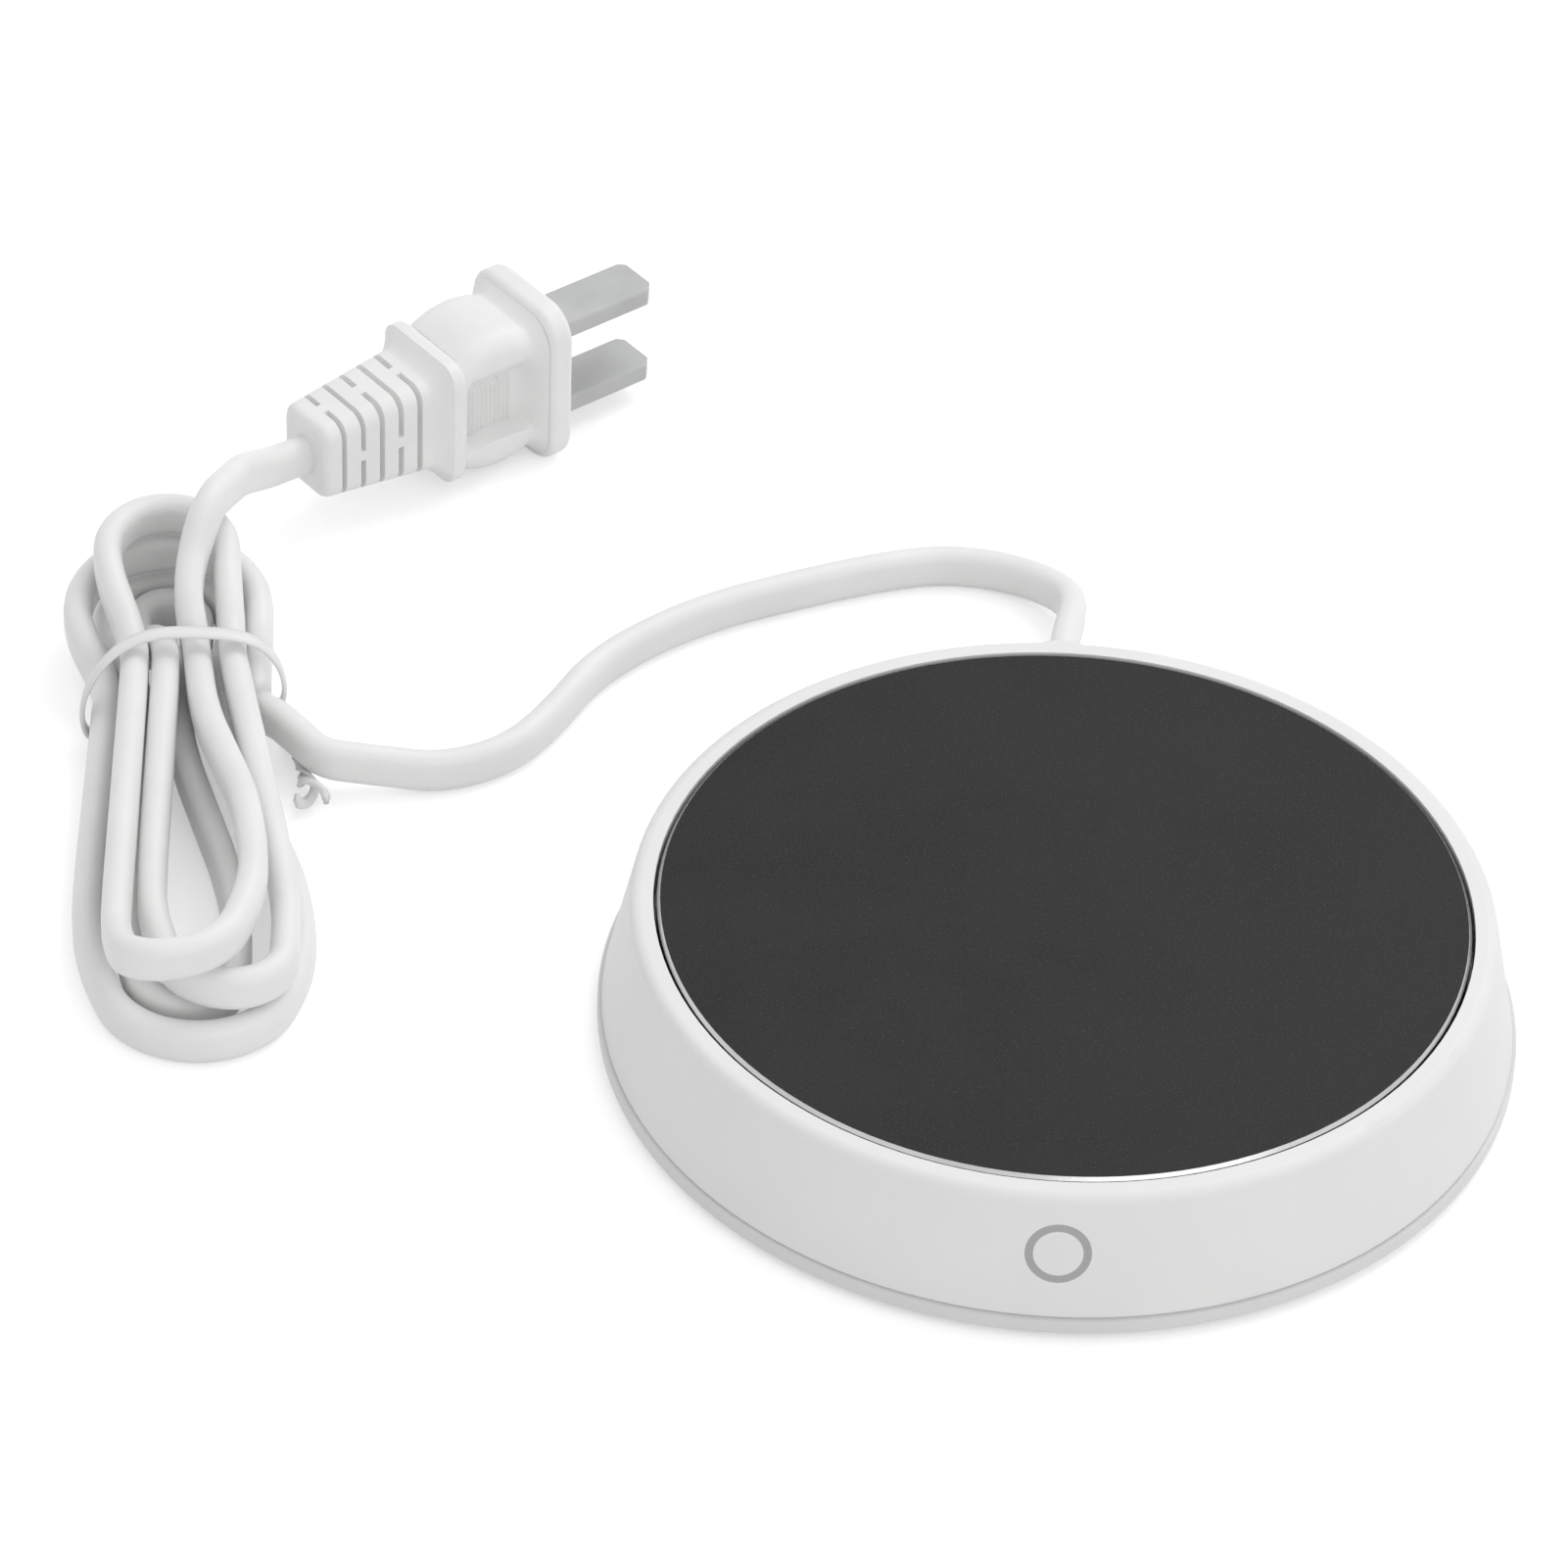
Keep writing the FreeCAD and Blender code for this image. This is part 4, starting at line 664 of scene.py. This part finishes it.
def in_slot(at):
    """Number of the slot that holds a distance along the plug, or none."""
    for number, start in enumerate(SLOT_STARTS):
        if abs(at - start) < SLOT_WIDTH / 2:
            return number
    return None


def plug_spot(at, half_width, half_height, y, z):
    """Moves a point of the plain outline into a slot or the ribbed recess."""
    number = in_slot(at)
    if number is not None:
        bridge = abs(y) < BRIDGE if number % 2 == 0 else abs(z) < BRIDGE
        if not bridge:
            y *= (half_width - SLOT_DEPTH) / half_width
            z *= (half_height - SLOT_DEPTH) / half_height
    if DOME_START < at < FLANGE_START and abs(y) > half_width * 0.55:
        along = soft_step(22.0, 23.4, at) * (1 - soft_step(31.6, 34.4, at))
        if z >= 0:
            up = 1 - soft_step(2.6, 6.6, z)
        else:
            up = 1 - soft_step(4.9, 5.6, -z)
        sink = RECESS_DEPTH * along * up
        if RIB_START < at < RIB_END and abs(z + 0.9) < 3.7:
            sink -= RIB_HEIGHT * (1 + math.cos(2 * math.pi * (at - RIB_START) / RIB_PITCH))
        y -= math.copysign(sink, y)
    return y, z


def along_plug(distance):
    """A step along the plug's own length."""
    return Vector((math.cos(PLUG_HEADING), math.sin(PLUG_HEADING), 0)) * distance


def build_plug(shape):
    """The whole moulding, as one tube of rings along the plug."""
    origin = PLUG_AT + along_plug(-PLUG_BACK) + Vector((0, 0, PLUG_RISE))
    place = Matrix.Translation(origin) @ Matrix.Rotation(PLUG_HEADING, 4, "Z")
    rings = []
    for at, half_width, half_height, corner in plug_stations():
        ring = []
        for y, z in rounded_ring(half_width, half_height, corner):
            y, z = plug_spot(at, half_width, half_height, y, z)
            ring.append((place @ Vector((at, y, z))) * MM)
        rings.append(ring)
    strip(shape, rings, False)


plug = add_mesh("moulded_plug", build_plug, MATERIALS["plug_rubber"])
plug.data.set_sharp_from_angle(angle=math.radians(38))


def lathe(shape, corners, steps=256):
    """A ring turned about Z from its section's (radius, height) corners."""
    rings = []
    for index in range(steps):
        angle = 2 * math.pi * index / steps
        rings.append([
            Vector((radius * math.cos(angle), radius * math.sin(angle), height)) * MM
            for radius, height in corners])
    strip(shape, rings, True)


# A ring in the groove between the case and its base makes its shadow line shallower.
seam = add_mesh("case_seam", lambda shape: lathe(
    shape, [(56.2, 3.15), (56.75, 3.15), (56.75, 3.55), (56.2, 3.55)]),
    MATERIALS["cover_grey"], smooth=False)


EXIT_LEVEL = 6.4


def build_bush(shape):
    """The short tapered bush round the cord behind the case, with two shallow grooves."""
    rings = []
    profile_marks = [(47.0, 3.4, 3.35), (57.6, 3.4, 3.35), (57.65, 4.0, 4.2), (59.4, 3.9, 4.1)]
    for start in (60.2, 62.4):
        profile_marks += [
            (start, 3.75, 4.0), (start + 0.15, 3.3, 3.6), (start + 0.85, 3.25, 3.55),
            (start + 1.0, 3.65, 3.9)]
    profile_marks += [(64.6, 3.4, 3.75), (65.8, 3.2, 3.6), (66.4, 2.7, 3.2), (66.4, 0.5, 0.6)]
    for at, half_width, half_height in profile_marks:
        corner = min(1.6, half_width * 0.6)
        rings.append([
            Vector((x, at, EXIT_LEVEL + z)) * MM
            for x, z in rounded_ring(half_width, half_height, corner, 64)])
    strip(shape, rings, False)


bush = add_mesh("cord_bush", build_bush, MATERIALS["cord_sheath"])
bush.data.set_sharp_from_angle(angle=math.radians(35))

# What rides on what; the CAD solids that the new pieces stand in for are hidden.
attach(cord, "warmer")
for piece in (tie, plug, seam, bush):
    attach(piece, "warmer")
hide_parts("cord_lead", "cord_hank", "cord_tail")
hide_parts("cord_tie")
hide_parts("plug_body")
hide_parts("strain_relief")
cord_curve.materials.append(MATERIALS["cord_sheath"])


# Floor and lights.
def seen_rays(tree):
    """One where the camera, a reflection or a clear surface looks, and zero elsewhere."""
    rays = tree.nodes.new("ShaderNodeLightPath")
    first = tree.nodes.new("ShaderNodeMath")
    first.operation = "ADD"
    second = tree.nodes.new("ShaderNodeMath")
    second.operation = "ADD"
    second.use_clamp = True
    tree.links.new(rays.outputs["Is Camera Ray"], first.inputs[0])
    tree.links.new(rays.outputs["Is Glossy Ray"], first.inputs[1])
    tree.links.new(first.outputs[0], second.inputs[0])
    tree.links.new(rays.outputs["Is Transmission Ray"], second.inputs[1])
    return second.outputs[0]


FLOOR_GLOW = 0.42
FLOOR_REACH = 3.0


def stage_material():
    """A pale floor that looks white to the eye and keeps the object's shadow."""
    material, tree, shader = new_material("floor_white")
    tree.nodes.remove(shader)
    out = tree.nodes["Material Output"]
    matte = node(tree, "ShaderNodeBsdfDiffuse", Color=(0.8, 0.8, 0.8, 1))
    glow = node(tree, "ShaderNodeEmission", Color=(1, 1, 1, 1))
    times = tree.nodes.new("ShaderNodeMath")
    times.operation = "MULTIPLY"
    times.inputs[1].default_value = FLOOR_GLOW
    tree.links.new(seen_rays(tree), times.inputs[0])
    tree.links.new(times.outputs[0], glow.inputs["Strength"])
    both = tree.nodes.new("ShaderNodeAddShader")
    tree.links.new(matte.outputs[0], both.inputs[0])
    tree.links.new(glow.outputs[0], both.inputs[1])
    tree.links.new(both.outputs[0], out.inputs["Surface"])
    return material


def build_floor(shape):
    """One square face at the table's level."""
    reach = FLOOR_REACH
    corners = [(-reach, -reach, 0), (reach, -reach, 0), (reach, reach, 0), (-reach, reach, 0)]
    shape.faces.new([shape.verts.new(Vector(corner)) for corner in corners])


floor = add_mesh("floor", build_floor, stage_material(), smooth=False)

world = bpy.data.worlds.new("studio")
scene.world = world
world.use_nodes = True
sky = world.node_tree
background = sky.nodes["Background"]
strength = sky.nodes.new("ShaderNodeMapRange")
strength.inputs["To Min"].default_value = 0.70
strength.inputs["To Max"].default_value = 1.0
sky.links.new(seen_rays(sky), strength.inputs["Value"])
sky.links.new(strength.outputs["Result"], background.inputs["Strength"])
background.inputs["Color"].default_value = (1, 1, 1, 1)


def add_light(name, place, size, power):
    """A soft square lamp aimed at the middle of the scene."""
    lamp = bpy.data.lights.new(name, "AREA")
    lamp.shape = "SQUARE"
    lamp.size = size
    lamp.energy = power
    thing = bpy.data.objects.new(name, lamp)
    thing.location = place
    aim = Vector((-0.03, 0.02, 0)) - Vector(place)
    thing.rotation_euler = aim.to_track_quat("-Z", "Y").to_euler()
    scene.collection.objects.link(thing)


add_light("key_light", (0.35, 0.55, 0.9), 0.7, 3.5)
add_light("front_light", (0.5, -0.8, 0.7), 0.9, 2.3)

bpy.context.view_layer.update()
